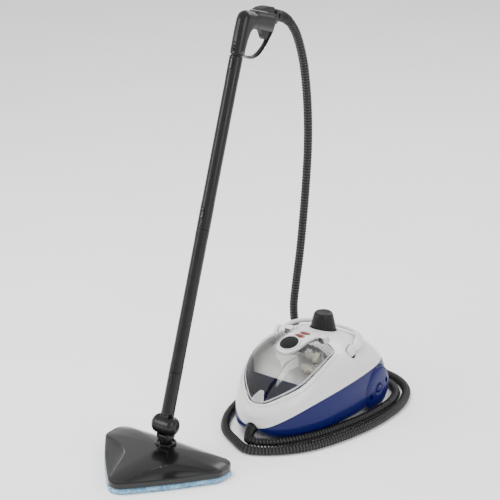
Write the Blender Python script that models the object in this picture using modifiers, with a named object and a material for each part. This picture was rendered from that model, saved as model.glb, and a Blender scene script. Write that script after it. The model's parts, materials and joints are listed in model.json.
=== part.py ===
"""Steam mop: a canister steam boiler, its long hose, a two-piece wand with a trigger handle and a mop head.

Frame: metres, +Z up. The origin is on the floor, on the mop head's swivel axis. The mop head points
along -Y, the canister stands behind it along +Y with its nose towards the mop head.
"""

import math

import bmesh
import bpy
import numpy as np
from mathutils import Matrix, Vector

TAU = 2 * math.pi
GAP = 0.0003                 # between pieces that touch
COLLECTION = "steam_mop"

# Canister body, in its own frame: x across, v along (nose at -v), z up from the floor
CANISTER = Vector((0.114, 0.400, 0.0))
HALF_LENGTH = 0.217
HALF_WIDTH = 0.144
WIDEST_V = 0.085             # the plan is widest behind the middle
WAIST_Z = 0.075              # height of the widest level
KEEL = 0.071                 # depth of the lower half below the waist
CREST = ((-0.217, 0.0), (-0.210, 0.015), (-0.190, 0.033), (-0.143, 0.078), (-0.094, 0.118),
         (-0.045, 0.133), (0.014, 0.132), (0.073, 0.122), (0.132, 0.104), (0.177, 0.075),
         (0.207, 0.036), (0.217, 0.0))
FRONT_POWER, REAR_POWER = 2.05, 2.9
CROWN_POWER, KEEL_POWER = 2.4, 5.0
STATIONS, RING = 18, 24
SHELL = 0.003                # wall of both body shells
SKIRT_Z = 0.014              # lower edge of the lower shell
SPLIT_START, SPLIT_RISE, SPLIT_FADE = 0.046, 0.074, 0.095
PLATE_LOW, PLATE_TOP = 0.0210, 0.0257
TILT_PANEL = math.radians(20)
PANEL_LIFT = 0.0012          # the switch stands a little proud of the skin

# Lid window, half of its outline, nose to the panel tongue (x, v)
LID_HALF = ((0.0, -0.199), (0.020, -0.1945), (0.039, -0.181), (0.058, -0.163), (0.074, -0.1425),
            (0.086, -0.120), (0.093, -0.095), (0.0965, -0.068), (0.0968, -0.040), (0.095, -0.012),
            (0.090, 0.004), (0.080, 0.010), (0.056, 0.0135), (0.0375, 0.0145), (0.0335, 0.010),
            (0.0320, -0.030), (0.0310, -0.058), (0.0265, -0.075), (0.0150, -0.088), (0.0, -0.092))
LID_GAP = 0.0008
LID_SKIN = 0.0022
LATCH_HALF = ((0.0, -0.1959), (0.0095, -0.1949), (0.0173, -0.1925), (0.0161, -0.1890), (0.0085, -0.1770),
              (0.0045, -0.1735), (0.0, -0.1725))
NOTCH_HALF = ((0.0, -0.2100), (0.0187, -0.2100), (0.0187, -0.1940), (0.0172, -0.1896), (0.0092, -0.1766),
              (0.0050, -0.1728), (0.0, -0.1717))
LID_AXIS = Vector((0.0, 0.0185, 0.2085))
LATCH_AXIS = Vector((0.0, -0.1738, 0.1275))

# Boiler, filler and cap
BOILER_V = 0.087
BOILER_R, BOILER_BASE, BOILER_SEAM, BOILER_TOP = 0.060, 0.079, 0.122, 0.162
NECK_R, NECK_BORE, NECK_TOP = 0.021, 0.0168, 0.1865
CAP_BASE_Z, CAP_TOP_Z = 0.1885, 0.236
CAP_BASE_R, CAP_TOP_R = 0.0325, 0.0205
WELL_R = 0.0362

# Wheels
WHEEL_V, WHEEL_Z, WHEEL_R = 0.119, 0.0572, 0.0570
WHEEL_IN, WHEEL_OUT = 0.1225, 0.1445
AXLE_R = 0.004
CASTER_V, CASTER_TRAIL, CASTER_R = -0.135, 0.010, 0.0098

# Wand: s runs up the wand from the barrel joint, p points back from it
JOINT_Z = 0.095
LEAN = math.radians(19.1)
TUBE_R, TUBE_BORE = 0.0158, 0.0134
SPIGOT_R, SPIGOT_BORE = 0.0131, 0.0108
LOW_SEAM, MID_SEAM, TOP_SEAM = 0.1250, 0.4653, 0.8695
BUTTON_S = (0.1060, 0.5026, 0.8510)
BUTTON_HALF_W, BUTTON_HALF_L = 0.0050, 0.0125
BARREL_R, BARREL_HALF = 0.0215, 0.0121
HALF_GRIP = 0.017            # half the handle's thickness

# Mop head
HEAD_POINTS = ((0.0, -0.2155), (0.1690, -0.0170), (0.1690, 0.0470), (-0.1690, 0.0470),
               (-0.1690, -0.0170))                                        # corners before rounding
HEAD_FILLET = 0.032
PAD_T, SOLE_T = 0.014, 0.005
COVER_RINGS = ((1.0, 0.0198), (1.0, 0.0268), (0.965, 0.0315), (0.80, 0.0350), (0.56, 0.0420),
               (0.34, 0.0480), (0.24, 0.0492))
COVER_WALL = 0.003
HEAD_MIDDLE = Vector((0.0, -0.020))

# Hose: route points on its centre line, from the canister's nose to the handle
HOSE_D = 0.0215
HOSE_FLOOR = (
    (0.1300, 0.1640, 0.0232), (0.1490, 0.1720, 0.0210), (0.1770, 0.1960, 0.0195),
    (0.2010, 0.2290, 0.0185), (0.2250, 0.2740, 0.0175), (0.2430, 0.3250, 0.0160),
    (0.2580, 0.3900, 0.0135), (0.2690, 0.4550, 0.0115), (0.2735, 0.5100, 0.0110),
    (0.2700, 0.5650, 0.0110), (0.2500, 0.6120, 0.0110), (0.2060, 0.6430, 0.0110),
    (0.1400, 0.6560, 0.0110), (0.0700, 0.6530, 0.0110), (0.0080, 0.6300, 0.0110),
    (-0.0280, 0.5880, 0.0110), (-0.0440, 0.5200, 0.0110), (-0.0440, 0.4400, 0.0110),
    (-0.0350, 0.3600, 0.0110), (-0.0200, 0.2880, 0.0110), (0.0020, 0.2350, 0.0110),
    (0.0330, 0.1930, 0.0110), (0.0790, 0.1635, 0.0110), (0.1310, 0.1410, 0.0110),
    (0.1760, 0.1630, 0.0110), (0.2130, 0.1960, 0.0110), (0.2450, 0.2400, 0.0110),
    (0.2680, 0.2930, 0.0110), (0.2860, 0.3530, 0.0110), (0.2990, 0.4200, 0.0110),
    (0.3040, 0.4850, 0.0110), (0.3010, 0.5450, 0.0110), (0.2880, 0.5950, 0.0110),
    (0.2620, 0.6400, 0.0110), (0.2140, 0.6740, 0.0110), (0.1460, 0.6890, 0.0110),
    (0.0750, 0.6890, 0.0110))
HOSE_RISE = (
    (0.0750, 0.6890, 0.0110), (0.0100, 0.6820, 0.0125), (-0.0440, 0.6720, 0.0290),
    (-0.0790, 0.6600, 0.0720), (-0.0860, 0.6520, 0.1350), (-0.0770, 0.6480, 0.2100),
    (-0.0620, 0.6420, 0.3000), (-0.0480, 0.6350, 0.4000), (-0.0360, 0.6280, 0.5000),
    (-0.0240, 0.6170, 0.6000), (-0.0130, 0.5980, 0.7000), (-0.0050, 0.5750, 0.7900),
    (0.0, 0.5520, 0.8550), (0.0, 0.5270, 0.9120), (0.0, 0.4990, 0.9480))
HOSE_STEP = 0.050
HOSE_START = Vector((0.0140, 0.0010, -0.0050)).normalized()

CUTTERS = []


# ------------------------------------------------------------------ helpers

def collection(name):
    made = bpy.data.collections.new(name)
    bpy.context.scene.collection.children.link(made)
    return made


def material(name, colour, roughness, metallic=0.0, alpha=1.0):
    made = bpy.data.materials.new(name)
    made.use_nodes = True
    shader = made.node_tree.nodes["Principled BSDF"]
    shader.inputs["Base Color"].default_value = (*colour, 1.0)
    shader.inputs["Roughness"].default_value = roughness
    shader.inputs["Metallic"].default_value = metallic
    shader.inputs["Alpha"].default_value = alpha
    return made


def empty(name, location, rotation=(0.0, 0.0, 0.0)):
    made = bpy.data.objects.new(name, None)
    made.empty_display_size = 0.03
    made.location = location
    made.rotation_euler = rotation
    PARTS.objects.link(made)
    return made


def from_bmesh(name, shape, parent=None, home=None):
    mesh = bpy.data.meshes.new(name)
    bmesh.ops.recalc_face_normals(shape, faces=shape.faces)
    shape.to_mesh(mesh)
    shape.free()
    made = bpy.data.objects.new(name, mesh)
    (home or PARTS).objects.link(made)
    made.parent = parent
    return made


def hide(cutter):
    cutter.hide_render = True
    cutter.display_type = "WIRE"
    return cutter


def finish(obj, colour):
    """Give a piece its material and smooth shading."""
    obj.data.materials.clear()
    obj.data.materials.append(colour)
    if obj.type == "MESH":
        obj.data.shade_smooth()
        obj.data.set_sharp_from_angle(angle=math.radians(35))
    return obj


def boolean(target, other, operation="DIFFERENCE"):
    step = target.modifiers.new(other.name, "BOOLEAN")
    step.operation = operation
    step.object = other
    return target


def axis_matrix(origin, direction):
    """Matrix that takes local +Z to direction and the local origin to origin."""
    turn = Vector(direction).to_track_quat("Z", "Y").to_matrix().to_4x4()
    return Matrix.Translation(Vector(origin)) @ turn


def box(name, low, high, parent=None, home=None, bevel=0.0):
    shape = bmesh.new()
    bmesh.ops.create_cube(shape, size=1.0)
    low, high = Vector(low), Vector(high)
    size = high - low
    bmesh.ops.transform(shape, verts=shape.verts,
                        matrix=Matrix.Translation((low + high) / 2) @ Matrix.Diagonal((*size, 1.0)))
    made = from_bmesh(name, shape, parent, home)
    if bevel:
        round_edges(made, bevel)
    return made


def round_edges(obj, width, segments=2):
    step = obj.modifiers.new("edges", "BEVEL")
    step.width = width
    step.segments = segments
    step.limit_method = "ANGLE"
    step.angle_limit = math.radians(40)
    return obj


def rod(name, start, end, radius, parent=None, home=None, sides=20, radius_end=None):
    """Cylinder or cone between two points."""
    start, end = Vector(start), Vector(end)
    shape = bmesh.new()
    bmesh.ops.create_cone(shape, cap_ends=True, segments=sides, radius1=radius,
                          radius2=radius if radius_end is None else radius_end,
                          depth=(end - start).length)
    bmesh.ops.transform(shape, verts=shape.verts, matrix=axis_matrix((start + end) / 2, end - start))
    return from_bmesh(name, shape, parent, home)


def turned(name, profile, parent=None, origin=(0, 0, 0), axis=(0, 0, 1), steps=28, closed=False,
           home=None):
    """Turn a profile of (radius, height) points about axis; it runs down its outer side."""
    mesh = bpy.data.meshes.new(name)
    count = len(profile)
    edges = [(i, i + 1) for i in range(count - 1)] + ([(count - 1, 0)] if closed else [])
    edges = [(i, j) for i, j in edges if profile[i][0] > 0 or profile[j][0] > 0]
    mesh.from_pydata([(r, 0.0, h) for r, h in profile], edges, [])
    made = bpy.data.objects.new(name, mesh)
    (home or PARTS).objects.link(made)
    made.parent = parent
    made.matrix_local = axis_matrix(origin, axis)
    screw = made.modifiers.new("turn", "SCREW")
    screw.steps = screw.render_steps = steps
    screw.use_merge_vertices = True
    screw.merge_threshold = 1e-5
    return made


def prism(name, outline, low, high, parent=None, home=None, plane="XY", holes=()):
    """Flat outline extruded between two levels of the axis that it faces."""
    curve = bpy.data.curves.new(name, "CURVE")
    curve.dimensions = "2D"
    curve.fill_mode = "BOTH"
    curve.extrude = (high - low) / 2
    for loop in (outline, *holes):
        spline = curve.splines.new("POLY")
        spline.points.add(len(loop) - 1)
        for point, (x, y) in zip(spline.points, loop):
            point.co = (x, y, 0.0, 1.0)
        spline.use_cyclic_u = True
    flat = bpy.data.objects.new(name + "_outline", curve)
    PARTS.objects.link(flat)
    middle = Matrix.Translation((0, 0, (low + high) / 2))
    turns = {"XY": Matrix.Identity(4),
             "YZ": Matrix(((0, 0, 1, 0), (1, 0, 0, 0), (0, 1, 0, 0), (0, 0, 0, 1)))}
    made = solid_copy(name, flat, turns[plane] @ middle, parent, home)
    return made


def solid_copy(name, source, matrix=None, parent=None, home=None):
    """Mesh object from an evaluated curve, its caps welded; the curve is removed."""
    bpy.context.view_layer.update()
    graph = bpy.context.evaluated_depsgraph_get()
    mesh = bpy.data.meshes.new_from_object(source.evaluated_get(graph))
    shape = bmesh.new()
    shape.from_mesh(mesh)
    bmesh.ops.remove_doubles(shape, verts=shape.verts, dist=1e-6)
    if matrix is not None:
        bmesh.ops.transform(shape, verts=shape.verts, matrix=matrix)
    bpy.data.objects.remove(source)
    bpy.data.meshes.remove(mesh)
    return from_bmesh(name, shape, parent, home)


def tube(name, points, radius, parent=None, resolution=2, radii=None):
    """Round bar along points, with filled ends."""
    curve = bpy.data.curves.new(name, "CURVE")
    curve.dimensions = "3D"
    curve.bevel_depth = radius
    curve.bevel_resolution = resolution
    curve.use_fill_caps = True
    spline = curve.splines.new("POLY")
    spline.points.add(len(points) - 1)
    for i, (point, place) in enumerate(zip(spline.points, points)):
        point.co = (*place, 1.0)
        point.radius = 1.0 if radii is None else radii[i]
    made = bpy.data.objects.new(name, curve)
    PARTS.objects.link(made)
    made.parent = parent
    return made


def pivot(obj, point):
    """Move an object's origin to a point of its parent's frame, leaving its shape where it is."""
    obj.data.transform(Matrix.Translation(-Vector(point)))
    obj.location = point
    return obj


def smooth_route(points, step):
    """Points a step apart along a smooth curve through the given ones."""
    points = [Vector(p) for p in points]
    ends = [2 * points[0] - points[1], *points, 2 * points[-1] - points[-2]]
    fine = []
    for a, b, c, d in zip(ends, ends[1:], ends[2:], ends[3:]):
        for t in np.linspace(0, 1, 24, endpoint=False):
            fine.append(0.5 * ((2 * b) + (c - a) * t + (2 * a - 5 * b + 4 * c - d) * t * t
                               + (3 * b - a - 3 * c + d) * t ** 3))
    fine.append(points[-1])
    along = np.concatenate([[0.0], np.cumsum([(q - p).length for p, q in zip(fine, fine[1:])])])
    count = max(2, round(along[-1] / step) + 1)
    spots = np.linspace(0.0, along[-1], count)
    columns = [np.interp(spots, along, [p[i] for p in fine]) for i in range(3)]
    return list(zip(*columns))


# ------------------------------------------------------------------ canister surface

def through(points, x):
    """Smooth curve through (x, y) points: a cubic between each two, level slopes kept modest."""
    xs = [p[0] for p in points]
    ys = [p[1] for p in points]
    slopes = np.gradient(ys, xs)
    i = int(np.clip(np.searchsorted(xs, x) - 1, 0, len(xs) - 2))
    width = xs[i + 1] - xs[i]
    t = (x - xs[i]) / width
    return (ys[i] * (1 + 2 * t) * (1 - t) ** 2 + slopes[i] * width * t * (1 - t) ** 2
            + ys[i + 1] * t * t * (3 - 2 * t) + slopes[i + 1] * width * t * t * (t - 1))


def half_width(v):
    front = v < WIDEST_V
    reach = (WIDEST_V + HALF_LENGTH) if front else (HALF_LENGTH - WIDEST_V)
    power = FRONT_POWER if front else REAR_POWER
    return HALF_WIDTH * max(0.0, 1 - (abs(v - WIDEST_V) / reach) ** power) ** (1 / power)


def crest(v):
    return max(0.0, through(CREST, v))


def keel(v):
    return KEEL * max(0.0, 1 - abs(v / HALF_LENGTH) ** 6) ** 0.4


def body_ring(v, inset):
    """One cross-section of the body at v, its wall moved in by inset."""
    long = v * HALF_LENGTH / (HALF_LENGTH - inset)
    wide = max(half_width(long) - inset, 0.0006)
    up = max(crest(long) - inset, 0.0005)
    down = max(keel(long) - inset, 0.0005)
    ring = []
    for i in range(RING):
        angle = TAU * i / RING
        c, s = math.cos(angle), math.sin(angle)
        power = CROWN_POWER if s >= 0 else KEEL_POWER
        x = wide * math.copysign(abs(c) ** (2 / power), c)
        rise = (up if s >= 0 else down) * math.copysign(abs(s) ** (2 / power), s)
        ring.append(Vector((x, v, WAIST_Z + rise)))
    return ring


def loft(name, rings, parent=None, home=None):
    """Closed skin over a stack of rings with the same number of points."""
    shape = bmesh.new()
    rows = [[shape.verts.new(p) for p in ring] for ring in rings]
    count = len(rows[0])
    for low, high in zip(rows, rows[1:]):
        for i in range(count):
            j = (i + 1) % count
            shape.faces.new((low[i], low[j], high[j], high[i]))
    shape.faces.new(rows[0])
    shape.faces.new(rows[-1])
    return from_bmesh(name, shape, parent, home)


def body_solid(name, inset, home):
    reach = HALF_LENGTH - inset - 0.0006
    spots = [-reach * math.cos(math.pi * i / (STATIONS - 1)) for i in range(STATIONS)]
    return hide(loft(name, [body_ring(v, inset) for v in spots], CAN, home))


def split_height(v):
    """Height of the line between the upper and lower shells."""
    start = -HALF_LENGTH + 0.003
    return SPLIT_START + SPLIT_RISE * (1 - math.exp(-max(0.0, v - start) / SPLIT_FADE))


def split_cutter(name, offset, below):
    reach = HALF_LENGTH + 0.02
    spots = np.linspace(-reach, reach, 30)
    line = [(v, split_height(v) + offset) for v in spots]
    level = -0.05 if below else 0.35
    return hide(prism(name, [*line, (reach, level), (-reach, level)], -0.2, 0.2, CAN, CUTS, "YZ"))


def mirrored(half):
    """Closed outline from the half at +x, both ends of which lie on the middle line."""
    return [*half, *[(-x, y) for x, y in reversed(half[1:-1])]]


def inset_outline(outline, distance):
    """Outline moved in by a distance along each point's normal."""
    moved = []
    count = len(outline)
    area = sum(outline[i][0] * outline[(i + 1) % count][1] - outline[(i + 1) % count][0] * outline[i][1]
               for i in range(count))
    side = 1 if area > 0 else -1
    for i in range(count):
        before, here, after = (Vector(outline[(i + k) % count]) for k in (-1, 0, 1))
        along = (here - before).normalized() + (after - here).normalized()
        along.normalize()
        normal = Vector((-along.y, along.x)) * side
        moved.append(tuple(here + normal * distance))
    return moved


# ------------------------------------------------------------------ canister pieces

def make_shells():
    outer = body_solid("body_outer", 0.0, CUTS)
    inner = body_solid("body_inner", SHELL, CUTS)
    lid_hole = hide(prism("lid_opening", mirrored(LID_HALF), 0.085, 0.25, CAN, CUTS))
    well = hide(rod("well_cut", (0, BOILER_V, 0.120), (0, BOILER_V, 0.26), WELL_R + GAP, CAN, CUTS, 32))
    pole = panel_point(0.0)
    normal = panel_normal()
    switch_hole = hide(rod("switch_cut", pole - normal * 0.02, pole + normal * 0.03, 0.0270, CAN, CUTS, 24))

    socket_hole = hide(rod("socket_cut", SOCKET_BACK - SOCKET_AXIS * 0.02, SOCKET_BACK + SOCKET_AXIS * 0.06,
                           0.0155, CAN, CUTS, 24))

    upper = body_copy("upper_shell", outer)
    for cutter in (inner, split_cutter("below_split", 0.5 * GAP, True), lid_hole, well, switch_hole, socket_hole):
        boolean(upper, cutter)
    for i, v in enumerate(LAMP_V):
        slot = hide(oval_rod(f"lamp_cut_{i}", v, LAMP_HALF[0] + GAP, LAMP_HALF[1] + GAP, 0.17, 0.25, CUTS))
        boolean(upper, slot)
    for side in (-1, 1):
        lug = hide(rod(f"lug_cut_{side}", (side * 0.0982, HANDLE_V, HANDLE_Z),
                       (side * 0.16, HANDLE_V, HANDLE_Z), 0.0162, CAN, CUTS, 24))
        seat = hide(rod(f"lug_seat_{side}", (side * 0.0860, HANDLE_V, HANDLE_Z),
                        (side * 0.0982, HANDLE_V, HANDLE_Z), 0.0150, CAN, CUTS, 24))
        hole = hide(rod(f"lug_hole_{side}", (side * 0.080, HANDLE_V, HANDLE_Z),
                        (side * 0.120, HANDLE_V, HANDLE_Z), 0.0045, CAN, CUTS, 16))
        boolean(upper, lug)
        boolean(upper, seat, "UNION")
        boolean(upper, hole)
        boolean(upper, hinge_ear(side, 0.0345, 0.0392), "UNION")
        boolean(upper, hinge_ear(side, 0.0588, 0.0635), "UNION")
        boolean(upper, hide(rod(f"pin_cut_{side}", (side * 0.030, LID_AXIS.y, LID_AXIS.z),
                                (side * 0.068, LID_AXIS.y, LID_AXIS.z), 0.0016, CAN, CUTS, 12)))
    finish(upper, WHITE)

    lower = body_copy("lower_shell", outer)
    skirt = hide(box("skirt_cut", (-0.2, -0.25, -0.05), (0.2, 0.25, SKIRT_Z), CAN, CUTS))
    for cutter in (inner, split_cutter("above_split", -0.5 * GAP, False), skirt, socket_hole):
        boolean(lower, cutter)
    for side in (-1, 1):
        boolean(lower, hide(rod(f"arch_cut_{side}", (side * (WHEEL_IN - 0.0025), WHEEL_V, WHEEL_Z),
                                (side * 0.17, WHEEL_V, WHEEL_Z), WHEEL_R + 0.0025, CAN, CUTS, 36)))
    finish(lower, BLUE)


def body_copy(name, outer):
    made = bpy.data.objects.new(name, outer.data.copy())
    PARTS.objects.link(made)
    made.parent = CAN
    return made


def hinge_ear(side, near, far):
    """Small upright ear on the crown that holds one end of a lid pin."""
    low, high = sorted((side * near, side * far))
    return hide(box(f"ear_{side}_{near:.4f}", (low, LID_AXIS.y - 0.0022, 0.1925),
                    (high, LID_AXIS.y + 0.0032, 0.2112), CAN, CUTS))


def panel_normal():
    return Vector((0.0, -math.sin(TILT_PANEL), math.cos(TILT_PANEL)))


def panel_point(depth):
    """Middle of the switch on the panel, moved along the panel's normal."""
    return Vector((0.0, SWITCH_V, WAIST_Z + crest(SWITCH_V))) + panel_normal() * (depth + PANEL_LIFT)


def oval_rod(name, v, half_x, half_v, low, high, home):
    outline = [(half_x * math.cos(TAU * i / 16), v + half_v * math.sin(TAU * i / 16)) for i in range(16)]
    return prism(name, outline, low, high, CAN, home)


def make_panel():
    turned("switch_bezel", [(0.0262, 0.0018), (0.0262, -0.006), (0.0234, -0.006), (0.0234, 0.0012),
                            (0.0242, 0.0026), (0.0254, 0.0026)],
           CAN, panel_point(0.0), panel_normal(), 24, closed=True)
    finish(bpy.data.objects["switch_bezel"], WHITE)
    finish(turned("power_button", [(0.0, 0.0034), (0.012, 0.0030), (0.0205, 0.0018), (0.0228, 0.0),
                                   (0.0228, -0.0055), (0.0, -0.0055)],
                  CAN, panel_point(0.0), panel_normal(), 24), BLACK_SATIN)
    for name, v in zip(("indicator_lens_front", "indicator_lens_rear"), LAMP_V):
        z = WAIST_Z + crest(v)
        outline = [(LAMP_HALF[0] * math.cos(TAU * i / 16), v + LAMP_HALF[1] * math.sin(TAU * i / 16))
                   for i in range(16)]
        finish(round_edges(prism(name, outline, z - 0.004, z + 0.0012, CAN), 0.0008, 1), RED)


def lid_patch(name, outline, low=0.080):
    """Piece of the body's skin inside an outline seen from above."""
    outer = body_solid(name + "_outer", -0.0002, CUTS)
    inner = body_solid(name + "_inner", LID_SKIN, CUTS)
    made = prism(name, outline, low, 0.25, CAN)
    boolean(made, outer, "INTERSECT")
    boolean(made, inner)
    return made


def make_lid():
    lid = lid_patch("clear_lid", inset_outline(mirrored(LID_HALF), LID_GAP))
    notch = hide(prism("latch_notch", mirrored(NOTCH_HALF), 0.06, 0.26, CAN, CUTS))
    boolean(lid, notch)
    for side in (-1, 1):
        knuckle = hide(rod(f"knuckle_{side}", (side * 0.0400, LID_AXIS.y, LID_AXIS.z),
                           (side * 0.0580, LID_AXIS.y, LID_AXIS.z), 0.0030, CAN, CUTS, 16))
        arm = hide(box(f"lid_arm_{side}", (side * 0.049 - 0.008, 0.0030, 0.1985),
                       (side * 0.049 + 0.008, 0.0112, 0.2100), CAN, CUTS))
        bridge = hide(box(f"lid_bridge_{side}", (side * 0.049 - 0.0085, 0.0070, 0.2065),
                          (side * 0.049 + 0.0085, LID_AXIS.y, 0.2105), CAN, CUTS))
        bore = hide(rod(f"lid_bore_{side}", (side * 0.036, LID_AXIS.y, LID_AXIS.z),
                        (side * 0.062, LID_AXIS.y, LID_AXIS.z), 0.0016, CAN, CUTS, 12))
        for other, how in ((knuckle, "UNION"), (arm, "UNION"), (bridge, "UNION"), (bore, "DIFFERENCE")):
            boolean(lid, other, how)
        finish(rod("lid_hinge_pin_" + ("right" if side > 0 else "left"),
                   (side * 0.0350, LID_AXIS.y, LID_AXIS.z), (side * 0.0630, LID_AXIS.y, LID_AXIS.z),
                   0.0012, CAN, sides=12), STEEL)
    finish(pivot(lid, LID_AXIS), CLEAR)
    latch = lid_patch("lid_latch", mirrored(LATCH_HALF), 0.098)
    finish(pivot(latch, LATCH_AXIS), CLEAR)


def make_compartment():
    half = [(x, v) for x, v in LID_HALF if v < -0.080 and x > 0.03]
    bowl = mirrored([(0.0, -0.1905), (0.020, -0.1865)] + [(x - 0.004, v + 0.004) for x, v in half]
                    + [(0.0885, -0.086), (0.0, -0.086)])
    inner_fit = body_solid("tray_fit", SHELL + 0.0012, CUTS)
    tray = prism("compartment_tray", bowl, 0.056, 0.20, CAN)
    boolean(tray, inner_fit, "INTERSECT")
    boolean(tray, hide(prism("tray_hollow", inset_outline(bowl, 0.0022), 0.0585, 0.25, CAN, CUTS)))
    boolean(tray, hide(box("tray_back_cut", (-0.0845, -0.0886, 0.118), (0.0845, -0.070, 0.25), CAN, CUTS)))
    finish(tray, NAVY)

    slope = [(-0.0840, 0.1120), (-0.0840, 0.1165), (-0.060, 0.1330), (-0.030, 0.1480), (0.006, 0.1560),
             (0.006, 0.1530), (-0.029, 0.1450), (-0.059, 0.1300), (-0.0815, 0.1145), (-0.0815, 0.1120)]
    back = prism("compartment_bulkhead", slope, -0.120, 0.120, CAN, None, "YZ")
    boolean(back, body_solid("bulkhead_fit", SHELL + 0.0012, CUTS), "INTERSECT")
    finish(back, WHITE)

    finish(turned("stored_jet_nozzle", [(0.0, 0.030), (0.0040, 0.030), (0.0060, 0.012), (0.0105, 0.008),
                                        (0.0115, -0.014), (0.0, -0.014)],
                  CAN, (0.052, -0.060, 0.1512), (0.75, -0.30, 0.10), 20), IVORY)
    finish(turned("stored_brush", [(0.0, 0.016), (0.0125, 0.014), (0.0140, 0.004), (0.0080, 0.0),
                                   (0.0080, -0.018), (0.0, -0.018)],
                  CAN, (0.045, -0.024, 0.1690), (0.9, 0.30, -0.18), 20), IVORY)


def make_boiler():
    wall = 0.0018
    finish(turned("boiler_lower", [(BOILER_R + 0.004, BOILER_SEAM), (BOILER_R + 0.004, BOILER_SEAM - 0.002),
                                   (BOILER_R, BOILER_SEAM - 0.002), (BOILER_R, BOILER_BASE + 0.014),
                                   (BOILER_R - 0.012, BOILER_BASE), (0.0, BOILER_BASE),
                                   (0.0, BOILER_BASE + wall), (BOILER_R - 0.013, BOILER_BASE + wall),
                                   (BOILER_R - wall, BOILER_BASE + 0.0145), (BOILER_R - wall, BOILER_SEAM)],
                  CAN, (0, BOILER_V, 0), steps=20, closed=True), STEEL)
    low, top = BOILER_SEAM + GAP, BOILER_TOP
    finish(turned("boiler_upper", [(NECK_R + 0.003, top), (BOILER_R - 0.012, top - 0.010), (BOILER_R, low + 0.014),
                                   (BOILER_R, low + 0.002), (BOILER_R + 0.004, low + 0.002),
                                   (BOILER_R + 0.004, low), (BOILER_R - wall, low),
                                   (BOILER_R - wall, low + 0.0135), (BOILER_R - 0.0135, top - 0.0117),
                                   (NECK_BORE, top - 0.002), (NECK_BORE, top)],
                  CAN, (0, BOILER_V, 0), steps=20, closed=True), STEEL)
    base = BOILER_TOP + GAP
    finish(turned("filler_neck", [(NECK_R - 0.0035, NECK_TOP), (NECK_R - 0.0035, base + 0.006),
                                  (NECK_R + 0.001, base + 0.004), (NECK_R + 0.001, base),
                                  (NECK_BORE - 0.0005, base), (NECK_BORE - 0.0015, NECK_TOP)],
                  CAN, (0, BOILER_V, 0), steps=20, closed=True), BRASS)
    finish(turned("filler_well", [(WELL_R, 0.215), (WELL_R, 0.1785), (0.0225, 0.1785), (0.0225, 0.1815),
                                  (WELL_R - 0.0024, 0.1815), (WELL_R - 0.0024, 0.215)],
                  CAN, (0, BOILER_V, 0), steps=18, closed=True), WHITE)
    boolean(bpy.data.objects["filler_well"], body_solid("well_fit", 0.0004, CUTS), "INTERSECT")

    ring = [(0.040 * math.cos(a), BOILER_V + 0.040 * math.sin(a), BOILER_BASE - 0.0042)
            for a in np.linspace(math.radians(-60), math.radians(240), 22)]
    finish(tube("heating_element", ring, 0.0038, CAN), STEEL)
    finish(rod("thermostat", (0, BOILER_V, BOILER_BASE - GAP), (0, BOILER_V, BOILER_BASE - 0.009), 0.009,
               CAN, sides=18), BRASS)
    finish(box("solenoid_valve", (-0.014, -0.030, 0.0262), (0.014, 0.004, 0.0535), CAN, bevel=0.002), BRASS)
    line = smooth_route([(0.0, -0.0305, 0.0400), (0.0, -0.075, 0.0410), (0.0, -0.140, 0.0430),
                         (0.0, -0.175, 0.0465), tuple(SOCKET_BACK - SOCKET_AXIS * 0.0068)], 0.014)
    finish(tube("nose_steam_pipe", line, 0.0035, CAN), COPPER)


def make_cap():
    base, top = CAP_BASE_Z, CAP_TOP_Z
    finish(turned("cap_knob", [(0.0, top), (CAP_TOP_R - 0.004, top - 0.0005), (CAP_TOP_R, top - 0.004),
                               (CAP_BASE_R - 0.003, base + 0.010), (CAP_BASE_R, base), (0.026, base),
                               (0.022, base + 0.006), (0.0, base + 0.006)],
                  CAN, (0, BOILER_V, 0), steps=24), BLACK_SATIN)
    finish(turned("cap_plug", [(0.0, base + 0.0055), (NECK_BORE - 0.002, base + 0.0055), (NECK_BORE - 0.002, base - 0.022),
                               (0.0, base - 0.022)],
                  CAN, (0, BOILER_V, 0), steps=24), BRASS)


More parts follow.
